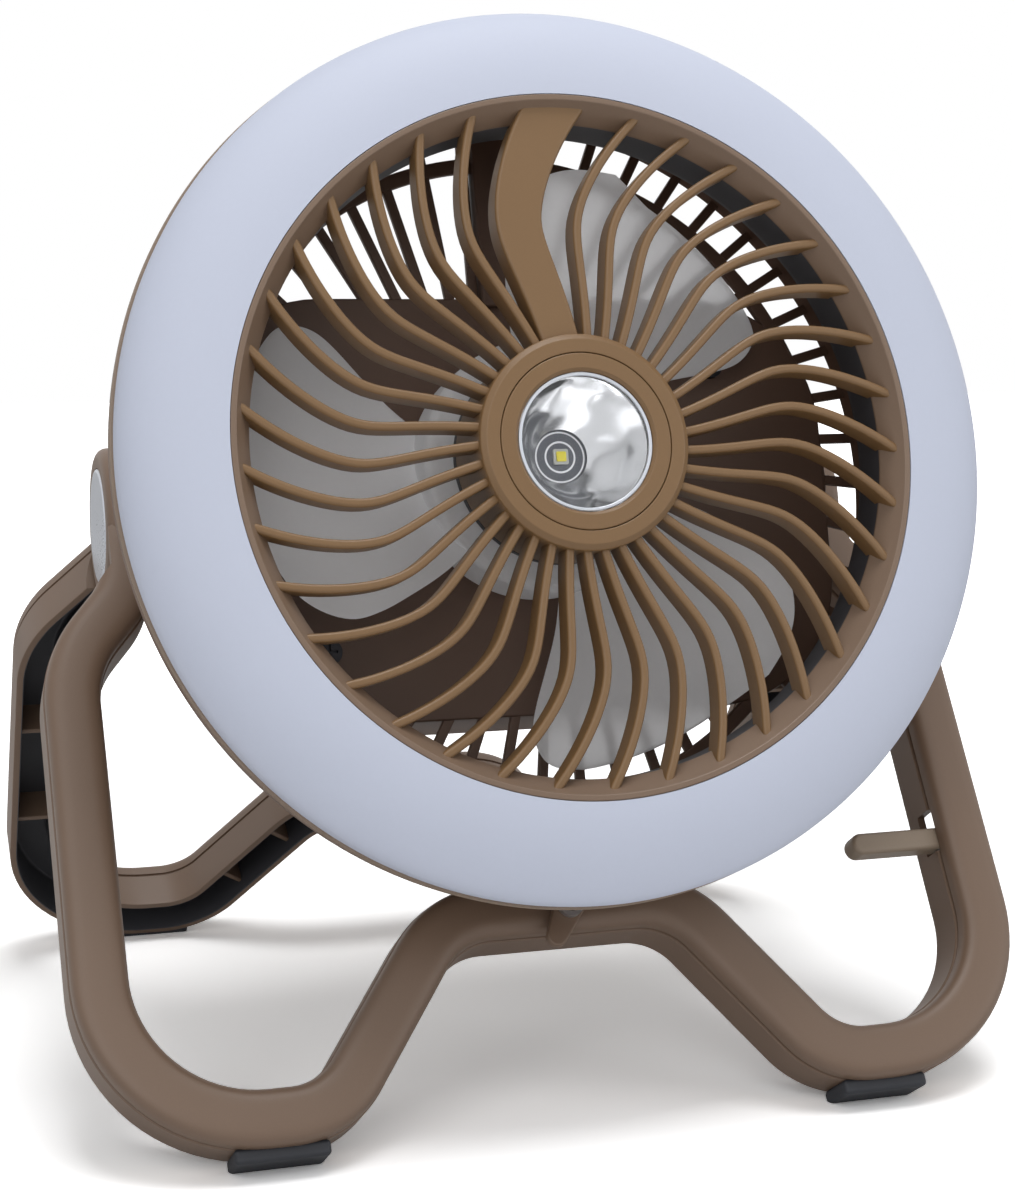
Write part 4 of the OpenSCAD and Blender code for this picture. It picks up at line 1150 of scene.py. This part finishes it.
def ring_light():
    """Milky diffuser dome on its tray, whose edge carries a fine groove."""
    bore = DIFFUSER_R - DIFFUSER_WALL
    skin = dome(DIFFUSER_R, DIFFUSER_IN, DIFFUSER_SKIRT, DIFFUSER_RISE)
    lining = dome(bore, DIFFUSER_IN, DIFFUSER_SKIRT, DIFFUSER_RISE - DIFFUSER_WALL)
    shell = revolved([(bore, 0), (DIFFUSER_R, 0), *skin, *lining[::-1]], WIDE_STEPS)
    fitted("diffuser_dome", shell, HEAD, [plastic("diffuser")], "head", "diffuser", "ring_diffuser")
    edge = [(RIM_R - i, TRAY_BACK + w) for i, w in RIM_BACK_EDGE]
    edge += [(RIM_R - i, w) for i, w in RIM_FRONT_EDGE]
    tray = revolved([(TRAY_IN, TRAY_BACK), *edge, (TRAY_IN, 0)], WIDE_STEPS)
    fitted("rim_tray", tray, HEAD, [plastic("rim")], "head", "rim", "light_tray")


def rib_turn(share):
    """How far a rib has turned, in degrees, at a share of its way out: a hyperbola whose two
    straight runs meet at the knee. Its slope before and after differs by the fold, and the
    ease rounds the knee."""
    past = share - RIB_KNEE
    return RIB_PEAK - RIB_DRIFT * past - np.hypot(RIB_FOLD * past, RIB_EASE)


def rib_line(lean, turn, tip):
    """Shares of the way out, a rib's middle line at them and its left normals."""
    s = np.concatenate((np.linspace(0, RIB_ROUND, 28), np.linspace(RIB_ROUND, tip, 8)[1:]))
    inner, outer = HUB_R - (HUB_R - HUB_BORE) / 2, RING_R - (RING_R - RING_IN) / 2
    r = inner + s * (outer - inner)
    a = np.radians(turn + lean * (rib_turn(s) - rib_turn(1.0)))
    line = np.stack((r * np.cos(a), r * np.sin(a)), -1)
    along = np.gradient(line, s, axis=0)
    along /= np.linalg.norm(along, axis=1, keepdims=True)
    return s, line, np.stack((-along[:, 1], along[:, 0]), -1)


def rib(lean, turn, widths, front, nose, blunt=False):
    """A rib with a rounded nose: its round-cornered section widens from hub to ring, and its
    tip is round in plan, as the root of one less the square of the share past its start, or
    blunt and kept within the ring."""
    s, line, sides = rib_line(lean, turn, WIDE_RIB_TIP if blunt else RIB_TIP)
    past = 0 * s if blunt else np.clip((s - RIB_ROUND) / (RIB_TIP - RIB_ROUND), 0, 1)
    fade = np.sqrt(np.clip(1 - past**2, 0.05, 1))[:, None]
    half = (widths[0] + s * (widths[1] - widths[0]))[:, None] / 2 * fade
    corner = np.linspace(0, math.pi / 2, 6)
    bend = np.stack((np.cos(corner), np.sin(corner)), -1)[None] * (nose * fade)[..., None]
    right = np.stack((half - nose * fade + bend[..., 0], front - nose * fade + bend[..., 1]), -1)
    left = (right * (-1, 1))[:, ::-1]
    base = np.full((len(s), 1), front - sizes().rib_depth)
    low = [np.stack((sign * half, base), -1) for sign in (-1, 1)]
    section = np.concatenate((low[1], right, left, low[0]), 1)
    flat = line[:, None] + section[..., :1] * sides[:, None]
    flat *= np.minimum(1, (RING_R - RIB_GAP) / np.linalg.norm(flat, axis=-1, keepdims=True))
    return shut(np.concatenate((flat, section[..., 1:]), -1))


def grille():
    """Ring, hub and curved ribs of the front grille, and the wide bridge across two places."""
    inner, slope = DIFFUSER_RISE - RING_SLOPE, RING_R - RING_LIP
    collar = [(RING_R, 0), (RING_R, DIFFUSER_RISE), (slope, DIFFUSER_RISE), (RING_IN, inner)]
    flange = [(RING_IN + 0.6, TRAY_BACK), (slope, FLANGE_BACK), (FLANGE_R, FLANGE_BACK)]
    flange += [(FLANGE_R, TRAY_BACK), (RING_R, TRAY_BACK)]
    ring = [*flange, *closed_loop([*collar, (RING_IN, 0)], (0, 0.35, 0.45, 0.9, 0))]
    across, down = HUB_BEVEL
    hub = [(HUB_BORE, HUB_BACK), (HUB_R, HUB_BACK), (HUB_R, HUB_FACE - down)]
    hub += [(HUB_R - across, HUB_FACE), (HUB_BORE, HUB_FACE)]
    hub = revolved(closed_loop(hub, (0.2, 0.4, 0.7, 0.6, 0.25)), 160)
    width = (sizes().rib_w,) * 2
    turns = [FIRST_RIB + k * RIB_PITCH for k in range(RIB_PLACES - 2)]
    thin = [rib(1, turn, width, RIB_FRONT, RIB_NOSE) for turn in turns]
    wide = (WIDE_RIB_LEAN, WIDE_RIB_AT, WIDE_RIB_W, WIDE_RIB_FRONT, WIDE_RIB_NOSE)
    bars = joined([rib(*wide, blunt=True), hub, *thin])
    # The ring's inner wall takes the third coat, painted shade; the rest of the ring takes its own
    # colour
    column = np.tile(np.arange(len(ring)), WIDE_STEPS)
    marks = np.where(column >= len(ring) - PAINTED_SHADE_POINTS, 2, 1)
    marks = np.concatenate((marks, np.zeros(len(bars[1]), int)))
    whole = joined([revolved(ring, WIDE_STEPS), bars])
    coats = [plastic("grille"), plastic("ring"), plastic("lining")]
    fitted("grille_bars", whole, HEAD, coats, "head", "grille_brown", "front_grille", marks=marks)


def spotlight():
    """Bezel, clear lens in its thin bright rim, reflector bowl, emitter and round board."""
    bezel = [(BEZEL_IN, SPOT_SEAT), (BEZEL_OUT, SPOT_SEAT), (BEZEL_OUT, HUB_FACE)]
    bezel += [(BEZEL_IN + 0.7, HUB_FACE), (BEZEL_IN, HUB_FACE - 0.7)]
    bezel = revolved(closed_loop(bezel, (0.1, 0.1, 0.35, 0.3, 0.3)))
    brown = [plastic("grille")]
    fitted("bezel_ring", bezel, HEAD, brown, "head", "grille_brown", "spot_bezel")
    inner, outer, low, top = LENS_RIM
    rim = revolved(closed_loop([(inner, low), (outer, low), (outer, top), (inner, top)], 0.2))
    fitted("lens_rim", rim, HEAD, [plastic("caps")], "head", "mirror_metal")
    crown = dome(LENS_R, 0, LENS_FRONT - LENS_CROWN, LENS_FRONT, 11)[:-1]
    lens = revolved([(0, LENS_BACK), (LENS_R, LENS_BACK), *crown, (0, LENS_FRONT)])
    fitted("lens_disc", lens, HEAD, [lens_material()], "head", "lens", "spot_lens")
    foil = [foil_material()]
    fitted("reflector_bowl", bowl(), HEAD, foil, "head", "mirror_metal", "spot_reflector")
    grey = moulded("Emitter package", srgb(190, 190, 184), 0.4, 0.1)
    yellow = moulded("Emitter phosphor", srgb(244, 226, 58), 0.35, 0.12, 3600.0, 0.02)
    face = BOARD_FACE + EMITTER_T
    base = slab((EMITTER_W,) * 2, 0.4, BOARD_FACE, face, 0.12)
    die = slab((DIE_W,) * 2, 0.3, face - 0.05, face + DIE_T - 0.05, 0.18)
    marks = np.repeat((0, 1), (len(base[1]), len(die[1])))
    both = joined([base, die])
    fitted("emitter", both, HEAD, [grey, yellow], "head", "led_chips", "spot_led", marks=marks)
    low = float(extent("spot_board", HEAD)[0][2])
    board = peg(BOARD_R, low, BOARD_FACE, 0.15, segments=96)
    fitted("star_board_disc", board, HEAD, [star_material()], "head", "star_board", "spot_board")


def bowl():
    """The reflector: a paraboloid from throat to mouth, whose height follows the square of
    its radius, and an even wall behind it."""
    r = np.linspace(THROAT_R, MOUTH_R, 40)
    z = SPOT_BACK + REFLECTOR_DEPTH * (r**2 - THROAT_R**2) / (MOUTH_R**2 - THROAT_R**2)
    inside = np.stack((r, np.minimum(z, SPOT_SEAT - 1.0)), -1)
    outside = np.stack((r + BOWL_WALL, np.minimum(z, SPOT_SEAT - 1.6)), -1)
    rim, seat = BEZEL_OUT - 0.15, SPOT_SEAT - BOWL_WALL
    edge = [(MOUTH_R + 0.4, SPOT_SEAT), (rim, SPOT_SEAT), (rim, seat), (MOUTH_R + BOWL_WALL, seat)]
    return revolved([*inside, *edge, *outside[::-1]])


def blade(thick):
    """One fan blade. Along its chord p goes from -1 at the rear edge to 1 at the front edge,
    the angle is p times that edge's share of the span, and the depth rises with p and bellies
    by one less p squared. Its thickness falls to nothing as the square root of one less p to
    the sixth, and again over its outermost rows."""
    rows, cols = 44, 25
    curves = (REACH_SHARES, FRONT_EDGE_SHARES, REAR_EDGE_SHARES)
    reach, front, rear = (smooth_through(shares, rows)[:, None] for shares in curves)
    p = -np.cos(np.linspace(0, math.pi, cols))[None]
    root = FAN_HUB_R - 1
    r = root + reach * (BLADE_R - root) + 0 * p
    a = np.radians(BLADE_SPAN * p * np.where(p > 0, front, rear))
    rise = (p - 1) / 2 - BLADE_BELLY * (1 - p**2)
    z = BLADE_FRONT + BLADE_DEPTH * rise - ROOT_DROP * (1 - reach) * (1 + p) / 2
    end = np.sqrt(np.clip(1 - np.linspace(0, 1, rows) ** 40, 0.02, 1))[:, None]
    half = thick / 2 * np.sqrt(np.clip(1 - p**6, 0, 1)) * end
    flat = (r * np.cos(a), r * np.sin(a))
    front_skin, back_skin = (np.stack((*flat, z - thick / 2 + s * half), -1) for s in (1, -1))
    rings = np.concatenate((front_skin, back_skin[:, ::-1]), 1)
    rows, cols = rings.shape[:2]
    return rings.reshape(-1, 3), np.concatenate((grid(rows, cols), strip_caps(rows, cols)))


def impeller():
    """Three broad blades on a cupped hub."""
    nose = arc(FAN_HUB_R - FAN_HUB_ROUND, FAN_FRONT - FAN_HUB_ROUND, FAN_HUB_ROUND, 90, 0, 8)
    bore, (boss_r, deep, deeper) = FAN_HUB_R - FAN_HUB_WALL, FAN_BOSS
    cup = [(FAN_BORE, FAN_FRONT), (8, FAN_FRONT)]
    cup += [(r, FAN_FRONT + w) for r, w in FAN_GROOVE] + nose
    cup += [(FAN_HUB_R, FAN_BACK + 0.3), (FAN_HUB_R - 0.3, FAN_BACK), (bore, FAN_BACK)]
    cup += [(bore, FAN_FRONT - deep), (boss_r, FAN_FRONT - deep), (boss_r, FAN_FRONT - deeper)]
    cup += [(FAN_BORE, FAN_FRONT - deeper)]
    wheel = joined([revolved(cup, 128), spun(blade(sizes().blade_t), 3, BLADE_TURN)])
    # Its material glows faintly: painted light for light passing through the blades
    smoke = [plastic("impeller")]
    fitted("impeller_wheel", wheel, HEAD, smoke, "fan_rotor", "impeller", "fan_impeller", crease=45)


def rear_shell():
    """Tapered shell behind the tray, with slats on a ring and the plate that carries the pod."""
    lip, step, neck = SHELL_LIP_R, TRAY_BACK - SHELL_LIP_H, GUARD_FRONT + 2
    inside, out, back = lip - SHELL_LIP_W, SHELL_STEP, SHELL_BACK_R
    shell = [(inside, TRAY_BACK), (lip, TRAY_BACK), (lip, step + out), (lip - out, step)]
    shell += [(back + out, neck), (back, GUARD_BACK)]
    shell += [(back - 2.2, GUARD_BACK), (back - 1.0, neck), (inside, step)]
    shell = closed_loop(shell, (0.2, 0.3, 0.4, 0.4, 1.0, 0.6, 0.4, 0.4, 0.4), 4)
    shell = revolved(shell, WIDE_STEPS)
    low, top = GUARD_BACK + 0.2, GUARD_FRONT - 0.2
    near = GUARD_RING_R - GUARD_RING_W
    ring = [(near, low), (GUARD_RING_R, low), (GUARD_RING_R, top), (near, top)]
    inner, outer = POD_H / 2 - POD_DROP - POD_WALL, SHELL_BACK_R - 0.3
    long, middle = outer - inner, (inner + outer) / 2
    size, at = (long, sizes().slat_w), (middle - GUARD_RING_R, 0)
    bar = slab(size, 0.5, low + 0.2, top - 0.2, 0.4, at=at, steps=2)
    slats = spun(swung(bar, SLAT_TURN, (GUARD_RING_R, 0)), sizes().slats, FIRST_SLAT)
    at = (middle, DUCT_OFF)
    duct = slab((long, DUCT_W), 1.0, GUARD_BACK + 0.3, GUARD_FRONT + 2.4, 0.6, at=at)
    size, at = (2 * POD_HALF_W, POD_H), (0, -POD_DROP)
    plate = slab(size, POD_CORNER, GUARD_BACK, GUARD_FRONT, at=at, steps=14)
    ring = revolved(closed_loop(ring, 0.5, 3))
    whole = joined([shell, ring, slats, spun(duct, 1, DUCT_AT), plate])
    dark = [plastic("guard")]
    fitted("rear_grid", whole, HEAD, dark, "head", "guard_brown", "rear_guard")


def pod_rings(edge):
    """The pod's round-cornered outline at each inset and height."""
    rings = []
    for i, z in edge:
        size = (2 * (POD_HALF_W - i), POD_H - 2 * i)
        flat = round_rect(*size, max(POD_CORNER - i, 2), 14) + (0, -POD_DROP)
        rings.append(np.concatenate((flat, np.full((len(flat), 1), z)), 1))
    return np.array(rings)


def pod():
    """Battery pod: a walled body and a crowned cover with a seam between them, carved for its
    screws, buttons, window and port."""
    dark = [plastic("guard")]
    wall = [(POD_WALL, POD_BACK)] + [(i, POD_BACK + w) for i, w in SEAM]
    wall += [(0, POD_BACK + POD_ROW)] + [(i, GUARD_BACK + w) for i, w in POD_EDGE]
    rings = pod_rings([*wall, (POD_WALL, GUARD_BACK)])
    rows, cols = rings.shape[:2]
    body = (rings.reshape(-1, 3), grid(rows, cols, close_rows=True))
    fitted("pod_body", body, HEAD, dark, "head", "guard_brown", "pod_housing")
    bend = POD_BACK - COVER_BEND
    inside = [(i, COVER_FLOOR) for i in COVER_FLOOR_ROWS]
    inside += [(POD_WALL, bend), (POD_WALL, POD_BACK)]
    outside = [(i, POD_BACK - w) for i, w in SEAM] + [(0, bend)]
    for a in np.linspace(0, math.pi / 2, 14)[1:]:
        draw = COVER_DRAW * (1 - math.cos(a)) ** COVER_BULGE
        outside.append((draw, bend + (COVER_BACK - bend) * math.sin(a)))
    outside += [(COVER_DRAW + i, COVER_BACK) for i in COVER_FACE_ROWS]
    cover = new_object("pod_cover_shell", shut(pod_rings(inside + outside)), HEAD, dark)
    low, top, edge = COVER_BACK - 1, COVER_FLOOR + 1, 0.01
    spots = [(x, w - POD_DROP) for x in (-SCREW_U, SCREW_U) for w in (-SCREW_W, SCREW_W)]
    cutters = [peg(SCREW_HOLE_R, low, POST_BACK, edge, at=at) for at in spots]
    cutters += [peg(BUTTON_R + 0.3, low, top, edge, at=(0, w)) for _node, w in BUTTONS]
    w, h = WINDOW
    cutters.append(slab((w + 0.2, h + 0.2), 1.2, low, top, edge, at=(0, WINDOW_W)))
    cutters.append(slab(PORT_HOLE, 1.6, low, top, edge, at=(0, PORT_W)))
    carved(cover, [(part, HEAD) for part in cutters])
    posts = [peg(POST_R, POST_BACK, POD_BACK, CLEAR, at=at) for at in spots]
    lugs = [slab(LUG, 1.5, *LUG_ROWS, at=(s * LUG_U, HINGE_W)) for s in (-1, 1)]
    posts = new_object("posts", joined(posts + lugs), HEAD, dark)
    dressed(merged(cover, posts), "head", "guard_brown", "pod_cover")


def controls():
    """Two dished push buttons, the smoked window between them and the port's hinged flap."""
    face, flange, r, turn = BUTTON_FACE, COVER_FLOOR + 0.15, BUTTON_FLANGE_R, BUTTON_ROUND
    stem, long = BUTTON_STEM
    dish = np.linspace(0, BUTTON_DISH_R, 8)
    key = [(x, face + BUTTON_DISH * (1 - (x / BUTTON_DISH_R) ** 2)) for x in dish]
    key += [(6.4, face), *arc(BUTTON_R - turn, face + turn, turn, -90, 0, 6)]
    key += [(BUTTON_R, flange), (r, flange), (r, flange + BUTTON_FLANGE_T)]
    key += [(stem, flange + BUTTON_FLANGE_T), (stem, flange + long), (0, flange + long)]
    for node, w in BUTTONS:
        part = moved(revolved(key, 96), (0, w, 0))
        fitted(node + "_key", part, HEAD, [plastic("dark")], node, "dark_plastic", node)
    smoke = moulded(
        "Smoked window", srgb(196, 206, 214), 0.18, 0.04, 1200.0, 0.005, **{"Coat Weight": 0.5}
    )
    pane = slab(WINDOW, 1.1, COVER_BACK - 0.3, COVER_BACK + 2.6, 0.3, at=(0, WINDOW_W))
    fitted("window_pane", pane, HEAD, [smoke], "head", "window", "indicator_window")
    top, at = FLAP_BACK, (0, PORT_W)
    leaf = slab(FLAP, 2.4, top - FLAP_T, top, 0.6, at=at)
    plug = slab(FLAP_PLUG, 1.0, top - 0.6, top + 1.2, 0.2, at=at)
    nail = slab(FLAP_NAIL, 0.5, top - 2.5, top - 1.6, 0.3, at=(0, PORT_W - 4))
    half = FLAP[0] / 2
    pin = moved(laid(peg(FLAP_PIN_R, -half, half)), (0, HINGE_W, COVER_BACK - 1.9))
    flap = joined([leaf, plug, nail, pin])
    rubber = moulded("Flap rubber", srgb(44, 43, 45), 0.62, 0.18, 1800.0, 0.04)
    fitted("flap_leaf", flap, HEAD, [rubber], "port_flap", "flap_rubber", "port_flap")


def inner_parts():
    """Materials for the solids that keep their own shape, most of them inside."""
    steel = brushed("Zinc steel", srgb(196, 197, 200), 0.28)
    coat_nodes(steel, "grille_screws", "motor_screws", "latch_screw", "hook_pin", "flap_pin")
    coat_nodes(steel, "pivot_nuts", "pivot_bolt_left", "pivot_bolt_right")
    coat_nodes(steel, "motor_shaft", "usb_port")
    coat_nodes(brushed("Motor can", srgb(150, 152, 156), 0.34, (60.0, 3000.0, 60.0)), "motor")
    coat_nodes(brushed("Blackened steel", srgb(64, 63, 66), 0.42), "pod_screws", "cover_screws")
    coat_nodes(brushed("Brass nut", srgb(206, 168, 92), 0.26), "impeller_nut")
    coat_nodes(moulded("Slippery washer", srgb(214, 213, 205), 0.36, 0.05), "pivot_washers")
    coat_nodes(plastic("dark"), "spot_cup", "battery_holder", "tact_switches")
    coat_nodes(moulded("Cell wrap", srgb(66, 112, 160), 0.3, 0.06, 900.0, 0.01), "battery_cells")
    coat_nodes(printed_board("White board", srgb(228, 228, 222), srgb(206, 208, 204)), "ring_board")
    coat_nodes(printed_board("Green board", srgb(24, 84, 48), srgb(40, 120, 70)), "main_board")
    coat_nodes(moulded("Ring lights", srgb(240, 226, 160), 0.34, 0.1, 3600.0, 0.02), "ring_leds")


# Stage


def stage_material():
    """White paper: it keeps shadows. The camera sees it paler than its bounce light, so that it
    reads as white without more light on the object, and far from the object plain white."""
    material, g, shader = new_material("White paper")
    at = g.place()
    seen = g.node("ShaderNodeLightPath").outputs["Is Camera Ray"]
    tone = g.ranged(g.noise(at, 600.0), 0.88, 0.9)
    paper = g.math("MULTIPLY", tone, g.ranged(seen, 1.0, FLOOR_LIFT))
    far = g.ranged(g.vector("LENGTH", at)["Value"], 0.0, 1.0, *FLOOR_FADE)
    glow = g.math("MULTIPLY", seen, far)
    g.fill(shader, {"Base Color": paper, "Emission Strength": glow, "Roughness": 0.9})
    g.fill(shader, {"Emission Color": (1, 1, 1, 1), "Specular IOR Level": 0.0})
    return material


def lamp(name, at, width, watts):
    """A soft square lamp that looks at the fan."""
    light = bpy.data.lights.new(name, "AREA")
    light.energy, light.size = watts, width
    made = bpy.data.objects.new(name, light)
    turn = (Vector(LAMP_AIM) - Vector(at)).to_track_quat("-Z", "Y").to_matrix().to_4x4()
    made.matrix_world = Matrix.Translation(at) @ turn
    bpy.context.scene.collection.objects.link(made)


def camera():
    """The photograph's camera, from its distance, height and turn about the pivots."""
    turn, lift, roll = np.radians((CAMERA_TURN, CAMERA_LIFT, CAMERA_ROLL))
    level = math.cos(lift)
    ahead = np.array((-math.sin(turn) * level, math.cos(turn) * level, -math.sin(lift)))
    across = np.cross(ahead, (0, 0, 1))
    across /= np.linalg.norm(across)
    up = np.cross(across, ahead)
    right = math.cos(roll) * across + math.sin(roll) * up
    top = -math.sin(roll) * across + math.cos(roll) * up
    at = HINGE + CAMERA_AIM - CAMERA_AWAY * ahead
    data = bpy.data.cameras.new("Camera")
    data.sensor_width, data.lens = 36, CAMERA_LENS
    data.shift_x, data.shift_y = CAMERA_SHIFT
    made = bpy.data.objects.new("Camera", data)
    rows = np.stack((right, top, -ahead, at), 1)
    made.matrix_world = Matrix([*rows.tolist(), (0, 0, 0, 1)])
    bpy.context.scene.collection.objects.link(made)
    bpy.context.scene.camera = made


def stage():
    """Floor, world, lamps and camera."""
    scene = bpy.context.scene
    side = np.linspace(-FLOOR_HALF, FLOOR_HALF, FLOOR_LINES)
    x, y = np.meshgrid(side, side)
    points = np.stack((x, y, 0 * x), -1).reshape(-1, 3)
    faces = grid(FLOOR_LINES, FLOOR_LINES, close_cols=False)[:, ::-1]
    mesh = bpy.data.meshes.new("floor")
    mesh.from_pydata(points.tolist(), [], faces.tolist())
    mesh.materials.append(stage_material())
    floor = bpy.data.objects.new("floor", mesh)
    scene.collection.objects.link(floor)
    scene.world = bpy.data.worlds.new("Soft studio")
    scene.world.use_nodes = True
    scene.world.node_tree.nodes.clear()
    g = Graph(scene.world.node_tree)
    path = g.node("ShaderNodeLightPath").outputs
    seen = g.math("MAXIMUM", path["Is Camera Ray"], path["Is Glossy Ray"])
    seen = g.math("MAXIMUM", seen, path["Is Transmission Ray"])
    level = g.ranged(seen, SKY_LEVEL, 1.0)
    sky = g.node("ShaderNodeBackground", {"Color": (1, 1, 1, 1), "Strength": level})
    g.node("ShaderNodeOutputWorld", {"Surface": sky.outputs["Background"]})
    for each in LAMPS:
        lamp(*each)
    camera()
    scene.view_settings.view_transform = "Standard"


# Add-on


class CAMPINGFAN_OT_frames(bpy.types.Operator):
    """Build both stand frames with their eyes"""

    bl_idname = "campingfan.frames"
    bl_label = "Stand frames"

    def execute(self, context):
        stand_frames()
        return {"FINISHED"}


class CAMPINGFAN_OT_pads(bpy.types.Operator):
    """Build the rubber foot pads"""

    bl_idname = "campingfan.pads"
    bl_label = "Foot pads"

    def execute(self, context):
        foot_pads()
        return {"FINISHED"}


class CAMPINGFAN_OT_caps(bpy.types.Operator):
    """Build the caps over the pivots"""

    bl_idname = "campingfan.caps"
    bl_label = "Pivot caps"

    def execute(self, context):
        pivot_caps()
        return {"FINISHED"}


class CAMPINGFAN_OT_latch(bpy.types.Operator):
    """Build the latch finger and the hanging hook"""

    bl_idname = "campingfan.latch"
    bl_label = "Latch and hook"

    def execute(self, context):
        latch_and_hook()
        return {"FINISHED"}


class CAMPINGFAN_OT_ring_light(bpy.types.Operator):
    """Build the ring light's diffuser and tray"""

    bl_idname = "campingfan.ring_light"
    bl_label = "Ring light"

    def execute(self, context):
        ring_light()
        return {"FINISHED"}


class CAMPINGFAN_OT_grille(bpy.types.Operator):
    """Build the front grille"""

    bl_idname = "campingfan.grille"
    bl_label = "Grille"

    def execute(self, context):
        grille()
        return {"FINISHED"}


class CAMPINGFAN_OT_spotlight(bpy.types.Operator):
    """Build the spotlight in the grille's hub"""

    bl_idname = "campingfan.spotlight"
    bl_label = "Spotlight"

    def execute(self, context):
        spotlight()
        return {"FINISHED"}


class CAMPINGFAN_OT_impeller(bpy.types.Operator):
    """Build the fan's wheel"""

    bl_idname = "campingfan.impeller"
    bl_label = "Impeller"

    def execute(self, context):
        impeller()
        return {"FINISHED"}


class CAMPINGFAN_OT_shell(bpy.types.Operator):
    """Build the rear shell with its slats"""

    bl_idname = "campingfan.shell"
    bl_label = "Rear shell"

    def execute(self, context):
        rear_shell()
        return {"FINISHED"}


class CAMPINGFAN_OT_pod(bpy.types.Operator):
    """Build the battery pod and its cover"""

    bl_idname = "campingfan.pod"
    bl_label = "Pod"

    def execute(self, context):
        pod()
        return {"FINISHED"}


class CAMPINGFAN_OT_controls(bpy.types.Operator):
    """Build the buttons, window and port flap"""

    bl_idname = "campingfan.controls"
    bl_label = "Controls"

    def execute(self, context):
        controls()
        return {"FINISHED"}


class CAMPINGFAN_OT_inner(bpy.types.Operator):
    """Put materials on the solids that keep their own shape"""

    bl_idname = "campingfan.inner"
    bl_label = "Inner parts"

    def execute(self, context):
        inner_parts()
        return {"FINISHED"}


class CAMPINGFAN_OT_stage(bpy.types.Operator):
    """Set up the floor, lights and camera"""

    bl_idname = "campingfan.stage"
    bl_label = "Stage"

    def execute(self, context):
        stage()
        return {"FINISHED"}


OPERATORS = (
    CAMPINGFAN_OT_frames,
    CAMPINGFAN_OT_pads,
    CAMPINGFAN_OT_caps,
    CAMPINGFAN_OT_latch,
    CAMPINGFAN_OT_ring_light,
    CAMPINGFAN_OT_grille,
    CAMPINGFAN_OT_spotlight,
    CAMPINGFAN_OT_impeller,
    CAMPINGFAN_OT_shell,
    CAMPINGFAN_OT_pod,
    CAMPINGFAN_OT_controls,
    CAMPINGFAN_OT_inner,
    CAMPINGFAN_OT_stage,
)


class CAMPINGFAN_PT_panel(bpy.types.Panel):
    """Lists the fan's sizes, colours and pieces"""

    bl_idname = "CAMPINGFAN_PT_panel"
    bl_label = "Camping Fan"
    bl_space_type = "VIEW_3D"
    bl_region_type = "UI"
    bl_category = "Camping Fan"

    def draw(self, context):
        for group in (context.scene.fan_sizes, context.scene.fan_colours):
            box = self.layout.box()
            for name in group.__annotations__:
                box.prop(group, name)
        for operator in OPERATORS:
            self.layout.operator(operator.bl_idname)


CLASSES = (FanColours, FanSizes, *OPERATORS, CAMPINGFAN_PT_panel)


def register():
    """Adds the classes and the scene's two groups of settings."""
    for each in CLASSES:
        bpy.utils.register_class(each)
    bpy.types.Scene.fan_colours = PointerProperty(type=FanColours)
    bpy.types.Scene.fan_sizes = PointerProperty(type=FanSizes)


def unregister():
    """Takes them away again."""
    del bpy.types.Scene.fan_sizes
    del bpy.types.Scene.fan_colours
    for each in reversed(CLASSES):
        bpy.utils.unregister_class(each)


def main():
    """Builds every piece."""
    register()
    for operator in OPERATORS:
        family, name = operator.bl_idname.split(".")
        getattr(getattr(bpy.ops, family), name)()


if __name__ == "__main__":
    main()
